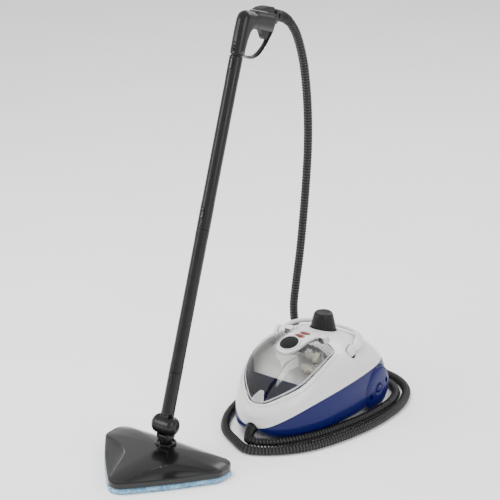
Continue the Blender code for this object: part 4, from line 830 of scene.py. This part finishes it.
def make_well_and_cap():
    well = spun("filler_well_fine", [(WELL_R, 0.215), (WELL_R, 0.1785), (0.0225, 0.1785), (0.0225, 0.1812),
                                     (0.0335, 0.1815), (0.0343, 0.1835), (0.0343, 0.215)],
                96, matrix=Matrix.Translation((0, BOILER_V, 0)))
    cut(well, body_solid(-0.0006), how="INTERSECT")
    place(well, "filler_well", WHITE, matrix=CAN_M)

    flutes = 26
    profile, waves = [], []
    base, top = 0.1885, 0.236
    for t, wave in [(0, 0), (0.02, 0.15), (0.06, 0.5), (0.12, 1), (0.3, 1), (0.5, 1), (0.7, 1), (0.80, 1),
                    (0.86, 0.6), (0.90, 0.2)]:
        profile.append((0.0325 - 0.0085 * t - 0.0022 * t ** 4, base + (top - base) * t))
        waves.append(wave)
    for k in range(1, 9):
        a = math.pi / 2 * k / 8
        profile.append((0.0165 + 0.0065 * math.cos(a) ** 0.8, base + (top - base) * (0.90 + 0.10 * math.sin(a))))
        waves.append(0)
    profile += [(0.0120, top - 0.0006), (0.0, top - 0.0008)]
    waves += [0, 0]
    profile = [(0.0, base + 0.006), (0.022, base + 0.006), (0.0260, base + 0.0004), (0.0312, base)] + profile
    waves = [0, 0, 0, 0] + waves

    def flute(angle, i):
        phase = (angle * flutes / TAU) % 1.0
        notch = max(0.0, 1 - abs(phase - 0.5) / 0.22)
        return 1 - 0.034 * waves[i] * notch * notch * (3 - 2 * notch)

    cap = spun("cap_knob_fine", profile, flutes * 12, flute, CAN_M @ Matrix.Translation((0, BOILER_V, 0)), False)
    place(cap, "cap_knob", SATIN, sharp=50)


def make_bail():
    """Folding carry handle: a flat band with rounded edges, swelling into round lugs."""
    path = [(0.1065, HANDLE_V, HANDLE_Z), (0.1060, HANDLE_V + 0.022, HANDLE_Z + 0.0040),
            (0.0985, HANDLE_V + 0.045, HANDLE_Z + 0.0065), (0.0850, HANDLE_V + 0.068, HANDLE_Z + 0.0070),
            (0.0640, HANDLE_V + 0.088, HANDLE_Z + 0.0055), (0.0350, HANDLE_V + 0.100, HANDLE_Z + 0.0030),
            (0.0120, HANDLE_V + 0.104, HANDLE_Z + 0.0020)]
    path += [(-x, v, z) for x, v, z in reversed(path)]
    points = smooth_route(path, 0.003)
    rings = []
    for i, here in enumerate(points):
        before, after = points[max(i - 1, 0)], points[min(i + 1, len(points) - 1)]
        along = (Vector(after) - Vector(before)).normalized()
        outward = Vector((here[0] * 0.9, (here[1] - 0.060) * 0.6, 0.105))
        side = along.cross(outward).normalized()
        thick = side.cross(along).normalized()
        half = min(0.0118, 0.0045 + 0.0007 * min(i, len(points) - 1 - i))
        rings.append([Vector(here) + thick * 0.0043 * math.copysign(abs(math.cos(a)) ** 0.62, math.cos(a))
                      + side * half * math.copysign(abs(math.sin(a)) ** 0.62, math.sin(a))
                      for a in (TAU * (k + 0.5) / 32 for k in range(32))])
    band = loft(rings, "carry_handle_fine")
    for side in (-1, 1):
        profile = [(0.0, 0.0), (0.0138, 0.0), (0.0145, 0.0008), (0.0145, 0.0075), (0.0135, 0.0090), (0.0105, 0.0098),
                   (0.0, 0.0102)]
        lug = spun("lug", profile, 64, matrix=axis_matrix((side * 0.1023, HANDLE_V, HANDLE_Z), (side, 0, 0)),
                   closed=False)
        cut(band, lug, how="UNION")
        cut(band, rod((side * 0.095, HANDLE_V, HANDLE_Z), (side * 0.1105, HANDLE_V, HANDLE_Z), 0.0045, 32))
    bevel(band, 0.0006, 2, 50)
    place(band, "carry_handle", WHITE, matrix=CAN_M)


def make_wheels():
    depth = WHEEL_OUT - WHEEL_IN
    for side, word in ((1, "right"), (-1, "left")):
        profile = [(0.0110, 0.0), (WHEEL_R - 0.0030, 0.0), (WHEEL_R - 0.0008, 0.0008), (WHEEL_R, 0.0030),
                   (WHEEL_R, 0.0110), (WHEEL_R - 0.0006, 0.0140), (WHEEL_R - 0.0020, 0.0163), (WHEEL_R - 0.0040, 0.0180),
                   (WHEEL_R - 0.0048, 0.0180), (WHEEL_R - 0.0056, 0.0172), (WHEEL_R - 0.0066, 0.0184),
                   (0.044, depth - 0.0012), (0.036, depth + 0.0002), (0.028, depth + 0.0010), (0.0200, depth + 0.0012),
                   (0.0155, depth + 0.0008), (0.0118, depth - 0.0004), (0.0112, depth - 0.0040),
                   (0.0045, depth - 0.0040), (0.0045, 0.0040), (0.0110, 0.0040)]
        wheel = spun("rear_wheel_" + word + "_fine", profile, 128)
        for k in range(2):
            angle = math.radians(-72 * side + 180 * k)
            slot = prism(rounded([(-0.0085, 0.0310), (0.0085, 0.0310), (0.0065, 0.0415), (-0.0065, 0.0415)], 0.004, 6),
                         depth - 0.0060, depth + 0.01)
            slot.data.transform(Matrix.Rotation(angle, 4, "Z"))
            cut(wheel, slot)
        bevel(wheel, 0.0005, 2, 50)
        place(wheel, "rear_wheel_" + word, BLUE,
              matrix=CAN_M @ axis_matrix((side * WHEEL_IN, WHEEL_V, WHEEL_Z), (side, 0, 0)))
        cap = spun("hub_cap_" + word + "_fine",
                   [(0.0, 0.0), (0.0100, 0.0), (0.0107, 0.0006), (0.0107, 0.0024), (0.0100, 0.0040), (0.0080, 0.0052),
                    (0.0040, 0.0060), (0.0, 0.0062)], 64,
                   matrix=CAN_M @ axis_matrix((side * (WHEEL_OUT - 0.0034), WHEEL_V, WHEEL_Z), (side, 0, 0)),
                   closed=False)
        place(cap, "hub_cap_" + word, BLUE)


def make_tray():
    half = [(x, v) for x, v in LID_HALF if v < -0.080 and x > 0.03]
    corners = mirrored([(0.0, -0.1905), (0.020, -0.1865)] + [(x - 0.004, v + 0.004) for x, v in half]
                       + [(0.0885, -0.086), (0.0, -0.086)])
    tray = prism(rounded(corners, 0.006, 4), 0.056, 0.20)
    cut(tray, body_solid(SHELL + 0.0026), how="INTERSECT")
    hollow = prism(rounded(inset_outline(corners, 0.0024), 0.004, 4), 0.0585, 0.25)
    cut(tray, hollow, box((-0.0845, -0.0886, 0.118), (0.0845, -0.070, 0.25)))
    bevel(tray, 0.0008, 2, 50)
    place(tray, "compartment_tray", NAVY, matrix=CAN_M)
    tray.name = "compartment_tray_fine"
    slope = rounded([(-0.0840, 0.1120), (-0.0840, 0.1165), (-0.060, 0.1330), (-0.030, 0.1480), (0.006, 0.1560),
                     (0.006, 0.1530), (-0.029, 0.1450), (-0.059, 0.1300), (-0.0815, 0.1145), (-0.0815, 0.1120)],
                    0.010, 6)
    back = prism(slope, -0.120, 0.120, "YZ")
    cut(back, body_solid(SHELL + 0.0022), how="INTERSECT")
    bevel(back, 0.0004, 1, 50)
    place(back, "compartment_bulkhead", WHITE, matrix=CAN_M)
    back.name = "compartment_bulkhead_fine"
    nozzle = spun("stored_jet_nozzle_fine",
                  [(0.0, -0.014), (0.0110, -0.014), (0.0115, -0.0132), (0.0113, -0.002), (0.0108, 0.0070),
                   (0.0100, 0.0085), (0.0064, 0.0105), (0.0058, 0.0130), (0.0042, 0.0290), (0.0036, 0.030),
                   (0.0016, 0.030), (0.0014, 0.020), (0.0, 0.020)], 64,
                  matrix=CAN_M @ axis_matrix((0.052, -0.060, 0.1512), (0.75, -0.30, 0.10)), closed=False)
    place(nozzle, "stored_jet_nozzle", IVORY)
    brush = spun("stored_brush_fine",
                 [(0.0, -0.018), (0.0074, -0.018), (0.0080, -0.0172), (0.0080, -0.0010), (0.0090, 0.0010),
                  (0.0134, 0.0040), (0.0140, 0.0056), (0.0134, 0.0070), (0.0126, 0.0142), (0.0118, 0.0150),
                  (0.0, 0.0158)], 64,
                 matrix=CAN_M @ axis_matrix((0.045, -0.024, 0.1690), (0.9, 0.30, -0.18)), closed=False)
    place(brush, "stored_brush", IVORY)


def make_nose():
    dome = spun("hose_socket_fine",
                [(0.0042, -0.0040), (0.0148, -0.0040), (0.0148, 0.0080), (0.0145, 0.0098), (0.0136, 0.0112),
                 (0.0120, 0.0119), (0.0105, 0.0120), (0.0042, 0.0120)], 64,
                matrix=CAN_M @ axis_matrix(SOCKET_BACK, SOCKET_AXIS))
    place(dome, "hose_socket", SATIN)
    start = CANISTER + SOCKET_BACK + SOCKET_AXIS * 0.0128
    end = Vector(HOSE_FLOOR[0])
    path = smooth_route([start, start + SOCKET_AXIS * 0.012, end - HOSE_START * 0.010,
                         end + HOSE_START * 0.002], 0.0012)
    last = len(path) - 1

    def radius(i):
        t = i / last
        swell = 0.0118 + 0.0018 * math.cos(math.pi * t)
        if t < 0.06:
            swell -= 0.0012 * (1 - t / 0.06) ** 2
        ridge = 0.0008 if 0.70 < t < 0.97 and (i % 4) < 2 else 0.0
        return max(swell, HOSE_R + 0.0006 if t > 0.6 else 0.0) + ridge

    elbow = tube_along(path, radius, 48, "hose_elbow_fine")
    place(elbow, "hose_elbow", SATIN, sharp=60)


# ------------------------------------------------------------------ wand

def front_button(node, s):
    """Oval push button standing a little proud of the tube's front, with a dished face."""
    rings = []
    for scale, p in ((1.0, -0.0128), (1.0, -0.0162), (0.95, -0.0170), (0.84, -0.0174), (0.55, -0.0170), (0.2, -0.0168)):
        rings.append([Vector((x, p, s + y)) for x, y in oval(0, 0, 0.0050 * scale, 0.0125 * scale, 40)])
    place(loft(rings, node + "_fine"), node, GLOSS, matrix=WAND_M)


def button_tool(s, low=-0.022, grow=0.0004):
    made = prism(oval(0, 0, 0.0050 + grow, 0.0125 + grow), -0.0085, -low, "XZ")
    made.data.transform(Matrix.Translation((0, 0, s)))
    return made


def make_tubes():
    r, b = TUBE_R, TUBE_BORE
    lower = spun("lower_tube_fine",
                 [(SPIGOT_R, MID_SEAM + 0.062), (SPIGOT_R, MID_SEAM), (r - 0.0006, MID_SEAM), (r, MID_SEAM - 0.0008),
                  (r, MID_SEAM - 0.020), (r - 0.0004, MID_SEAM - 0.0208), (r - 0.0004, LOW_SEAM + 0.0212),
                  (r, LOW_SEAM + 0.0204), (r, LOW_SEAM + 0.0012), (r - 0.0006, LOW_SEAM + 0.0004),
                  (SPIGOT_R, LOW_SEAM + 0.0004), (SPIGOT_R, LOW_SEAM - 0.050), (0.0108, LOW_SEAM - 0.050),
                  (0.0108, MID_SEAM + 0.062)], 64)
    cut(lower, button_tool(BUTTON_S[0]), button_tool(BUTTON_S[1]))
    place(lower, "lower_tube", TUBE, matrix=WAND_M)
    upper = spun("upper_tube_fine",
                 [(b, TOP_SEAM), (r - 0.0006, TOP_SEAM), (r, TOP_SEAM - 0.0008), (r, TOP_SEAM - 0.052),
                  (r - 0.0004, TOP_SEAM - 0.0528), (r - 0.0004, MID_SEAM + 0.0628), (r, MID_SEAM + 0.062),
                  (r, MID_SEAM + 0.0012), (r - 0.0006, MID_SEAM + 0.0004), (b, MID_SEAM + 0.0004)], 64)
    dimple = rod((0, -0.0175, MID_SEAM + 0.0165), (0, -0.0148, MID_SEAM + 0.0165), 0.0030, 24)
    cut(upper, button_tool(BUTTON_S[1]), button_tool(BUTTON_S[2]), dimple)
    place(upper, "upper_tube", TUBE, matrix=WAND_M)
    for node, s in zip(("lower_lock_button", "middle_lock_button", "upper_lock_button"), BUTTON_S):
        front_button(node, s)

    knuckle = spun("wand_knuckle_fine",
                   [(b, LOW_SEAM), (r - 0.0006, LOW_SEAM), (r, LOW_SEAM - 0.0008), (r, 0.0300), (0.0150, 0.0262),
                    (0.0136, 0.0232), (0.0, 0.0232), (0.0, 0.058), (b, 0.060)], 64)
    cut(knuckle, button_tool(BUTTON_S[0]))
    web = box((-0.0110, -0.0125, 0.0), (0.0110, 0.0125, 0.030))
    barrel = rod((-0.0120, 0, 0), (0.0120, 0, 0), 0.0215, 96)
    cut(knuckle, web, barrel, how="UNION")
    cut(knuckle, rod((-0.03, 0, 0), (0.03, 0, 0), 0.0038, 32))
    bevel(knuckle, 0.0006, 2, 50)
    place(knuckle, "wand_knuckle", TUBE, matrix=WAND_M)


GRIP_OUTLINE = (
    (-0.0158, 0.8700), (-0.0166, 0.9050), (-0.0166, 0.9380), (-0.0155, 0.9560), (-0.0115, 0.9680),
    (-0.0030, 0.9745), (0.0090, 0.9765), (0.0240, 0.9755), (0.0360, 0.9780), (0.0385, 0.9800), (0.1125, 0.9800),
    (0.1130, 0.9905), (0.1235, 0.9915), (0.1240, 0.9640), (0.1215, 0.9560), (0.1190, 0.9480), (0.1178, 0.9350),
    (0.1148, 0.9230), (0.1080, 0.9080), (0.0985, 0.8945), (0.0850, 0.8790), (0.0740, 0.8720), (0.0600, 0.8680),
    (0.0450, 0.8674), (0.0300, 0.8690), (0.0158, 0.8700))
FINGER_HOLE = (
    (0.0188, 0.8775), (0.0195, 0.8920), (0.0215, 0.9080), (0.0260, 0.9240), (0.0310, 0.9320), (0.0380, 0.9345),
    (0.1112, 0.9345), (0.1095, 0.9240), (0.1040, 0.9110), (0.0950, 0.8980), (0.0830, 0.8860), (0.0720, 0.8790),
    (0.0590, 0.8748), (0.0440, 0.8740), (0.0280, 0.8750))
GRIP_CAVITY = (
    (-0.0125, 0.8680), (-0.0132, 0.9380), (-0.0120, 0.9540), (-0.0080, 0.9660), (0.0, 0.9710), (0.0230, 0.9722),
    (0.0360, 0.9745), (0.1085, 0.9745), (0.1085, 0.9565), (0.1125, 0.9560), (0.1125, 0.9330), (0.0380, 0.9330),
    (0.0380, 0.9375), (0.0290, 0.9360), (0.0220, 0.9260), (0.0178, 0.9090), (0.0158, 0.8920), (0.0150, 0.8680))
TRIGGER = ((0.0575, 0.9440), (0.0610, 0.9405), (0.0700, 0.9365), (0.0780, 0.9310), (0.0840, 0.9230),
           (0.0915, 0.9180), (0.0970, 0.9172), (0.1005, 0.9215), (0.1045, 0.9290), (0.1075, 0.9380),
           (0.1085, 0.9495), (0.0600, 0.9500), (0.0575, 0.9480))
LOCK = ((0.0420, 0.9805), (0.0420, 0.9815), (0.0530, 0.9878), (0.0700, 0.9925), (0.0887, 0.9952), (0.0980, 0.9952),
        (0.1030, 0.9930), (0.1045, 0.9890), (0.1045, 0.9805))


def inside(point, loop):
    x, y = point
    hit = False
    for (x1, y1), (x2, y2) in zip(loop, loop[1:] + loop[:1]):
        if (y1 > y) != (y2 > y) and x < (x2 - x1) * (y - y1) / (y2 - y1) + x1:
            hit = not hit
    return hit


def edge_distance(point, loops):
    best = 1.0
    p = np.array(point)
    for loop in loops:
        a = np.array(loop)
        b = np.roll(a, -1, axis=0)
        ab = b - a
        t = np.clip(((p - a) * ab).sum(1) / np.maximum((ab * ab).sum(1), 1e-12), 0, 1)
        best = min(best, float(np.sqrt((((a + ab * t[:, None]) - p) ** 2).sum(1)).min()))
    return best


def step_up(x, low, high):
    t = max(0.0, min(1.0, (x - low) / (high - low)))
    return t * t * (3 - 2 * t)


def grip_half(x, y, depth):
    """Half thickness of the handle at (p, s), depth in from its edge: round column, fuller body, slim strap."""
    full = 0.0168
    round_off = math.sqrt(max(0.0, full ** 2 - (full - min(depth, full)) ** 2))
    strap = step_up(x, 0.020, 0.034) * (1 - step_up(y, 0.922, 0.934))
    deck = step_up(y, 0.966, 0.975) * step_up(x, 0.026, 0.036) + step_up(x, 0.108, 0.114) * step_up(y, 0.950, 0.960)
    squared = 0.0132 * min(1.0, deck) * (0.90 + 0.10 * min(1.0, depth / 0.0015))
    return max(0.0030, squared, round_off * (1 - 0.22 * strap))


def grip_shell(name, sign, outline, hole):
    """One moulded half: a fine triangle skin over the outline, raised by its distance from the edge."""
    points, edges = [], []
    loops = [even(outline, 0.0012), even(hole, 0.0012)]
    for loop in loops:
        base = len(points)
        points += [Vector(p) for p in loop]
        edges += [(base + i, base + (i + 1) % len(loop)) for i in range(len(loop))]
    rim = len(points)
    for inset in (0.0005, 0.0013, 0.0026, 0.0044):
        for loop, turn in zip(loops, (1, -1)):
            for p in inset_outline(loop, inset * turn):
                if inside(p, loops[0]) and not inside(p, loops[1]) and edge_distance(p, loops) > inset * 0.9:
                    points.append(Vector(p))
    for x in np.arange(-0.020, 0.128, 0.0022):
        for y in np.arange(0.864, 0.996, 0.0022):
            p = (float(x), float(y))
            if inside(p, loops[0]) and not inside(p, loops[1]) and edge_distance(p, loops) > 0.0052:
                points.append(Vector(p))
    verts, _, faces, *_ = mathutils.geometry.delaunay_2d_cdt(points, edges, [], 0, 1e-6)
    faces = [f for f in faces if inside(sum((verts[i] for i in f), Vector((0, 0))) / len(f), loops[0])
             and not inside(sum((verts[i] for i in f), Vector((0, 0))) / len(f), loops[1])]
    shape = bmesh.new()
    top = [shape.verts.new((sign * grip_half(v.x, v.y, edge_distance((v.x, v.y), loops)), v.x, v.y)) for v in verts]
    low = [shape.verts.new((sign * 0.00012, v.x, v.y)) for v in verts]
    borders = {}
    for f in faces:
        shape.faces.new([top[i] for i in f])
        shape.faces.new([low[i] for i in reversed(f)])
        for a, b in zip(f, f[1:] + f[:1]):
            borders[frozenset((a, b))] = borders.get(frozenset((a, b)), []) + [(a, b)]
    for pair in borders.values():
        if len(pair) == 1:
            a, b = pair[0]
            shape.faces.new((top[b], top[a], low[a], low[b]))
    loose = [v for v in shape.verts if not v.link_faces]
    bmesh.ops.delete(shape, geom=loose, context="VERTS")
    return link_mesh(name, shape)


def even(loop, step):
    return smooth_straight([*loop, loop[0]], step)[:-1]


def smooth_straight(points, step):
    """Points a step apart along a polyline."""
    points = np.array(points)
    along = np.concatenate([[0.0], np.cumsum(np.linalg.norm(np.diff(points, axis=0), axis=1))])
    spots = np.linspace(0, along[-1], max(3, round(along[-1] / step) + 1))
    return [tuple(map(float, row)) for row in zip(*(np.interp(spots, along, points[:, k]) for k in range(2)))]


def make_grip():
    outline, hole = rounded(GRIP_OUTLINE, 0.006, 5), rounded(FINGER_HOLE, 0.006, 5)
    for node, sign in (("handle_right_shell", 1), ("handle_left_shell", -1)):
        shell = grip_shell(node + "_fine", sign, outline, hole)
        cut(shell, prism(rounded(GRIP_CAVITY, 0.003, 3), -0.0092, 0.0092, "YZ"),
            rod((0, 0, 0.860), (0, 0, TOP_SEAM + 0.0225), 0.0141, 64))
        place(shell, node, TUBE, matrix=WAND_M, sharp=45)
    trigger = prism(rounded(TRIGGER, 0.003, 5), -0.0065, 0.0065, "YZ", "trigger_fine")
    for k in range(7):
        t = k / 6
        spot = Vector((0.0720 + 0.0145 * t, 0.9352 - 0.0150 * t))
        cut(trigger, rod((-0.008, *spot), (0.008, *spot), 0.0008, 12))
    bevel(trigger, 0.0007, 2, 50)
    place(trigger, "trigger", SATIN, matrix=WAND_M)
    lock = prism(rounded(LOCK, 0.004, 5), -0.0110, 0.0110, "YZ", "steam_lock_fine")
    for k in range(8):
        p = 0.0560 + 0.0056 * k
        z = float(np.interp(p, [q[0] for q in LOCK[1:7]], [q[1] for q in LOCK[1:7]]))
        cut(lock, rod((-0.009, p, z + 0.0006), (0.009, p, z + 0.0006), 0.0014, 16))
    bevel(lock, 0.0007, 2, 50)
    place(lock, "steam_lock", SATIN, matrix=WAND_M)

    path = smooth_route([(0.0, 0.1243, 0.9775), (0.0, 0.1400, 0.9780), (0.0, 0.1560, 0.9775), (0.0, 0.1720, 0.9750),
                         (0.0, 0.1880, 0.9700)], 0.0010)
    last = len(path) - 1

    def radius(i):
        t = i / last
        r = 0.0149 - 0.0032 * t
        if 0.16 < t < 0.90 and (i % 7) < 2:
            r -= 0.0011
        if t < 0.03 or t > 0.97:
            r -= 0.0006
        return r

    place(tube_along(path, radius, 56, "hose_cuff_fine"), "hose_cuff", MATT, matrix=WAND_M, sharp=50)


# ------------------------------------------------------------------ mop head

def rounded_corners(points, radius, steps):
    outline = []
    for i in range(len(points)):
        here, before, after = (Vector(points[(i + k) % len(points)]) for k in (0, -1, 1))
        to_before, to_after = (before - here).normalized(), (after - here).normalized()
        half = to_before.angle(to_after) / 2
        middle = here + (to_before + to_after).normalized() * (radius / math.sin(half))
        start = here + to_before * (radius / math.tan(half)) - middle
        end = here + to_after * (radius / math.tan(half)) - middle
        first, last = math.atan2(start.y, start.x), math.atan2(end.y, end.x)
        sweep = (last - first + math.pi) % TAU - math.pi
        outline += [tuple(middle + radius * Vector((math.cos(first + sweep * k / steps),
                                                    math.sin(first + sweep * k / steps))))
                    for k in range(steps + 1)]
    return outline


def head_outline(spacing=0.003):
    """Evenly spaced outline; each long side bows out a little. Also each point's place along its side."""
    corner = rounded_corners(HEAD_POINTS, HEAD_FILLET, 14)
    outline, part = [], []
    count = len(corner)
    for i in range(count):
        a, b = Vector(corner[i]), Vector(corner[(i + 1) % count])
        outline.append(tuple(a))
        part.append(0.0)
        length = (b - a).length
        if length > 0.08:
            normal = Vector((b.y - a.y, a.x - b.x)).normalized()
            if normal.dot((a + b) / 2 - HEAD_MIDDLE) < 0:
                normal = -normal
            steps = round(length / spacing)
            for k in range(1, steps):
                t = k / steps
                outline.append(tuple(a + (b - a) * t + normal * 0.004 * math.sin(math.pi * t)))
                part.append(math.sin(math.pi * t) if (a.y + b.y) / 2 < -0.03 else 0.0)
    return outline, part


def make_cover():
    """Domed cover: upright rim with a rounded shoulder, and a scooped flank under an arc on each side."""
    outline, part = head_outline()
    levels = [(0.0006, 0.0146), (0.0, 0.0152), (0.0, 0.0262), (0.0002, 0.0272), (0.0008, 0.0284),
              (0.0020, 0.0293), (0.0036, 0.0297)]
    depths = [0.0036 + 0.0016 * k for k in range(1, 27)] + [0.049, 0.058, 0.068, 0.079, 0.090, 0.101]
    rings = []

    def point(i, d, z):
        p = Vector(outline[i])
        arm = HEAD_MIDDLE - p
        share = min(d / 0.112, 0.93)
        inward = arm * share if d > 0.004 else arm.normalized() * d
        q = p + inward
        return Vector((q.x, q.y, z))

    for d, z in levels:
        rings.append([point(i, d, z) for i in range(len(outline))])
    for d in depths:
        ring = []
        for i in range(len(outline)):
            z = 0.0297 + 0.0205 * (1 - math.exp(-(d - 0.0036) / 0.046))
            arc = 0.0040 + 0.036 * part[i] ** 0.7
            if part[i] > 0.0 and d < arc:
                share = d / arc
                z -= 0.0070 * part[i] ** 0.6 * 2.4 * share ** 0.9 * (1 - share) ** 0.55
            ring.append(point(i, d, z))
        rings.append(ring)
    top = loft(rings, "head_cover_fine", cap=True)
    wall, hollow = 0.003, ((0.0, 0.0100), (0.0, 0.0235), (0.006, 0.0240))
    inner = [[point(i, d + wall, z - wall) for i in range(len(outline))] for d, z in hollow]
    cut(top, loft(inner))
    collar = spun("collar", [(0.0, 0.0200), (0.0250, 0.0200), (0.0250, 0.0505), (0.0235, 0.0520), (0.0, 0.0520)], 96,
                  closed=False)
    cut(top, collar, how="UNION")
    cut(top, rod((0, 0, 0.01), (0, 0, 0.08), 0.0146, 64), rod((0, 0, 0.01), (0, 0, 0.0384), 0.0204, 64),
        rod((0, 0, 0.0485), (0, 0, 0.08), 0.0205, 64))
    bevel(top, 0.0004, 2, 55)
    place(top, "head_cover", GLOSS, sharp=16)
    screw = spun("cover_screw", [(0.0, 0.0), (0.0046, 0.0), (0.0048, 0.0006), (0.0044, 0.0014), (0.0, 0.0016)], 32,
                 matrix=Matrix.Translation((0.0, -0.168, 0.0325)), closed=False)
    cut(screw, box((-0.0040, -0.1686, 0.0335), (0.0040, -0.1674, 0.036)))
    place(screw, None, MATT, "mop_head")


def make_pad():
    """Microfibre pad: a soft slab with a puffed, uneven edge and short curled fibres along it."""
    outline, part = head_outline(0.0020)
    rng = random.Random(7)
    profile = [(0.0045, 0.0006), (0.0018, 0.0010), (0.0002, 0.0030), (-0.0006, 0.0058), (-0.0006, 0.0085),
               (0.0002, 0.0112), (0.0020, 0.0130), (0.0060, 0.0138)]
    rings = []
    for d in (0.030, 0.018, 0.010):
        rings.append([(d, 0.0004)] * len(outline))
    for d, z in profile:
        rings.append([(d, z)] * len(outline))
    rings.append([(0.020, 0.0138)] * len(outline))
    shaped = []
    for ring in rings:
        row = []
        for i, (d, z) in enumerate(ring):
            p = Vector(outline[i])
            arm = (HEAD_MIDDLE - p).normalized()
            q = p + arm * d
            wobble = noise.noise(Vector((q.x * 160, q.y * 160, z * 260))) * 0.0011
            lift = noise.noise(Vector((q.x * 90, q.y * 90, 3.0))) * 0.0007 if 0.001 < z < 0.0139 else 0.0
            row.append(Vector((q.x - arm.x * wobble, q.y - arm.y * wobble, max(0.0003, z + lift))))
        shaped.append(row)
    pad = loft(shaped, "mop_pad_fine")
    shape = bmesh.new()
    count = len(outline)
    for k in range(3600):
        i = rng.randrange(count)
        p = Vector(outline[i])
        arm = (p - HEAD_MIDDLE).normalized()
        z = rng.uniform(0.0012, 0.0128)
        root = Vector((p.x, p.y, z)) - Vector((arm.x, arm.y, 0)) * 0.0006
        side = Vector((-arm.y, arm.x, 0)) * rng.uniform(-1, 1)
        reach = Vector((arm.x, arm.y, 0)) * rng.uniform(0.5, 1.0) + side * 0.7 + Vector((0, 0, rng.uniform(-0.8, 0.5)))
        length = rng.uniform(0.0016, 0.0034)
        tip = root + reach.normalized() * length
        tip.z = max(tip.z, 0.0005)
        across = reach.cross(Vector((0, 0, 1))).normalized() * rng.uniform(0.00028, 0.00045)
        up = Vector((0, 0, 1)) * 0.00035
        base = [shape.verts.new(root + across), shape.verts.new(root - across), shape.verts.new(root + up)]
        mid_shift = Vector((rng.uniform(-1, 1), rng.uniform(-1, 1), rng.uniform(-0.5, 1))) * 0.0004
        mids = [shape.verts.new((v.co + tip) / 2 + mid_shift) for v in base]
        end = shape.verts.new(tip)
        for a in range(3):
            b = (a + 1) % 3
            shape.faces.new((base[a], base[b], mids[b], mids[a]))
            shape.faces.new((mids[a], mids[b], end))
        shape.faces.new(base[::-1])
    fibres = link_mesh("mop_pad_fibres", shape)
    place(fibres, None, CLOTH, "mop_head", weighted=False, sharp=180)
    place(pad, "mop_pad", CLOTH, sharp=180)


def make_joint():
    neck = spun("head_neck_fine",
                [(0.0, 0.0235), (0.0196, 0.0235), (0.0196, 0.0368), (0.0140, 0.0378), (0.0136, 0.0440), (0.0130, 0.0560),
                 (0.0136, 0.0650), (0.0, 0.0650)], 64, closed=False)
    yoke = box((-0.0166, -0.0118, 0.0580), (0.0166, 0.0118, 0.0712))
    bevel(yoke, 0.003, 4, 40)
    cut(neck, yoke, how="UNION")
    for side in (-1, 1):
        cheek = box((side * 0.0149 - 0.0021, -0.0125, 0.0625), (side * 0.0149 + 0.0021, 0.0125, 0.0860))
        ear = rod((side * 0.0125, 0, JOINT_Z), (side * 0.0173, 0, JOINT_Z), 0.0213, 96)
        cut(neck, cheek, ear, how="UNION")
        cap = spun("joint_cap_" + ("right" if side > 0 else "left") + "_fine",
                   [(0.0, 0.0), (0.0215, 0.0), (0.0224, 0.0008), (0.0224, 0.0030), (0.0214, 0.0062), (0.0190, 0.0095),
                    (0.0156, 0.0122), (0.0112, 0.0140), (0.0072, 0.0147), (0.0052, 0.0149), (0.0048, 0.0136),
                    (0.0, 0.0136)], 96,
                   matrix=axis_matrix((side * 0.0176, 0, JOINT_Z), (side, 0, 0)), closed=False)
        place(cap, "joint_cap_" + ("right" if side > 0 else "left"), TUBE, sharp=40)
    cut(neck, rod((-0.018, 0, JOINT_Z), (0.018, 0, JOINT_Z), 0.0038, 32))
    bevel(neck, 0.0005, 2, 50)
    place(neck, "head_neck", TUBE)


make_shells()
make_lid()
make_panel()
make_well_and_cap()
make_bail()
make_wheels()
make_tray()
make_nose()
make_tubes()
make_grip()
make_cover()
make_pad()
make_joint()
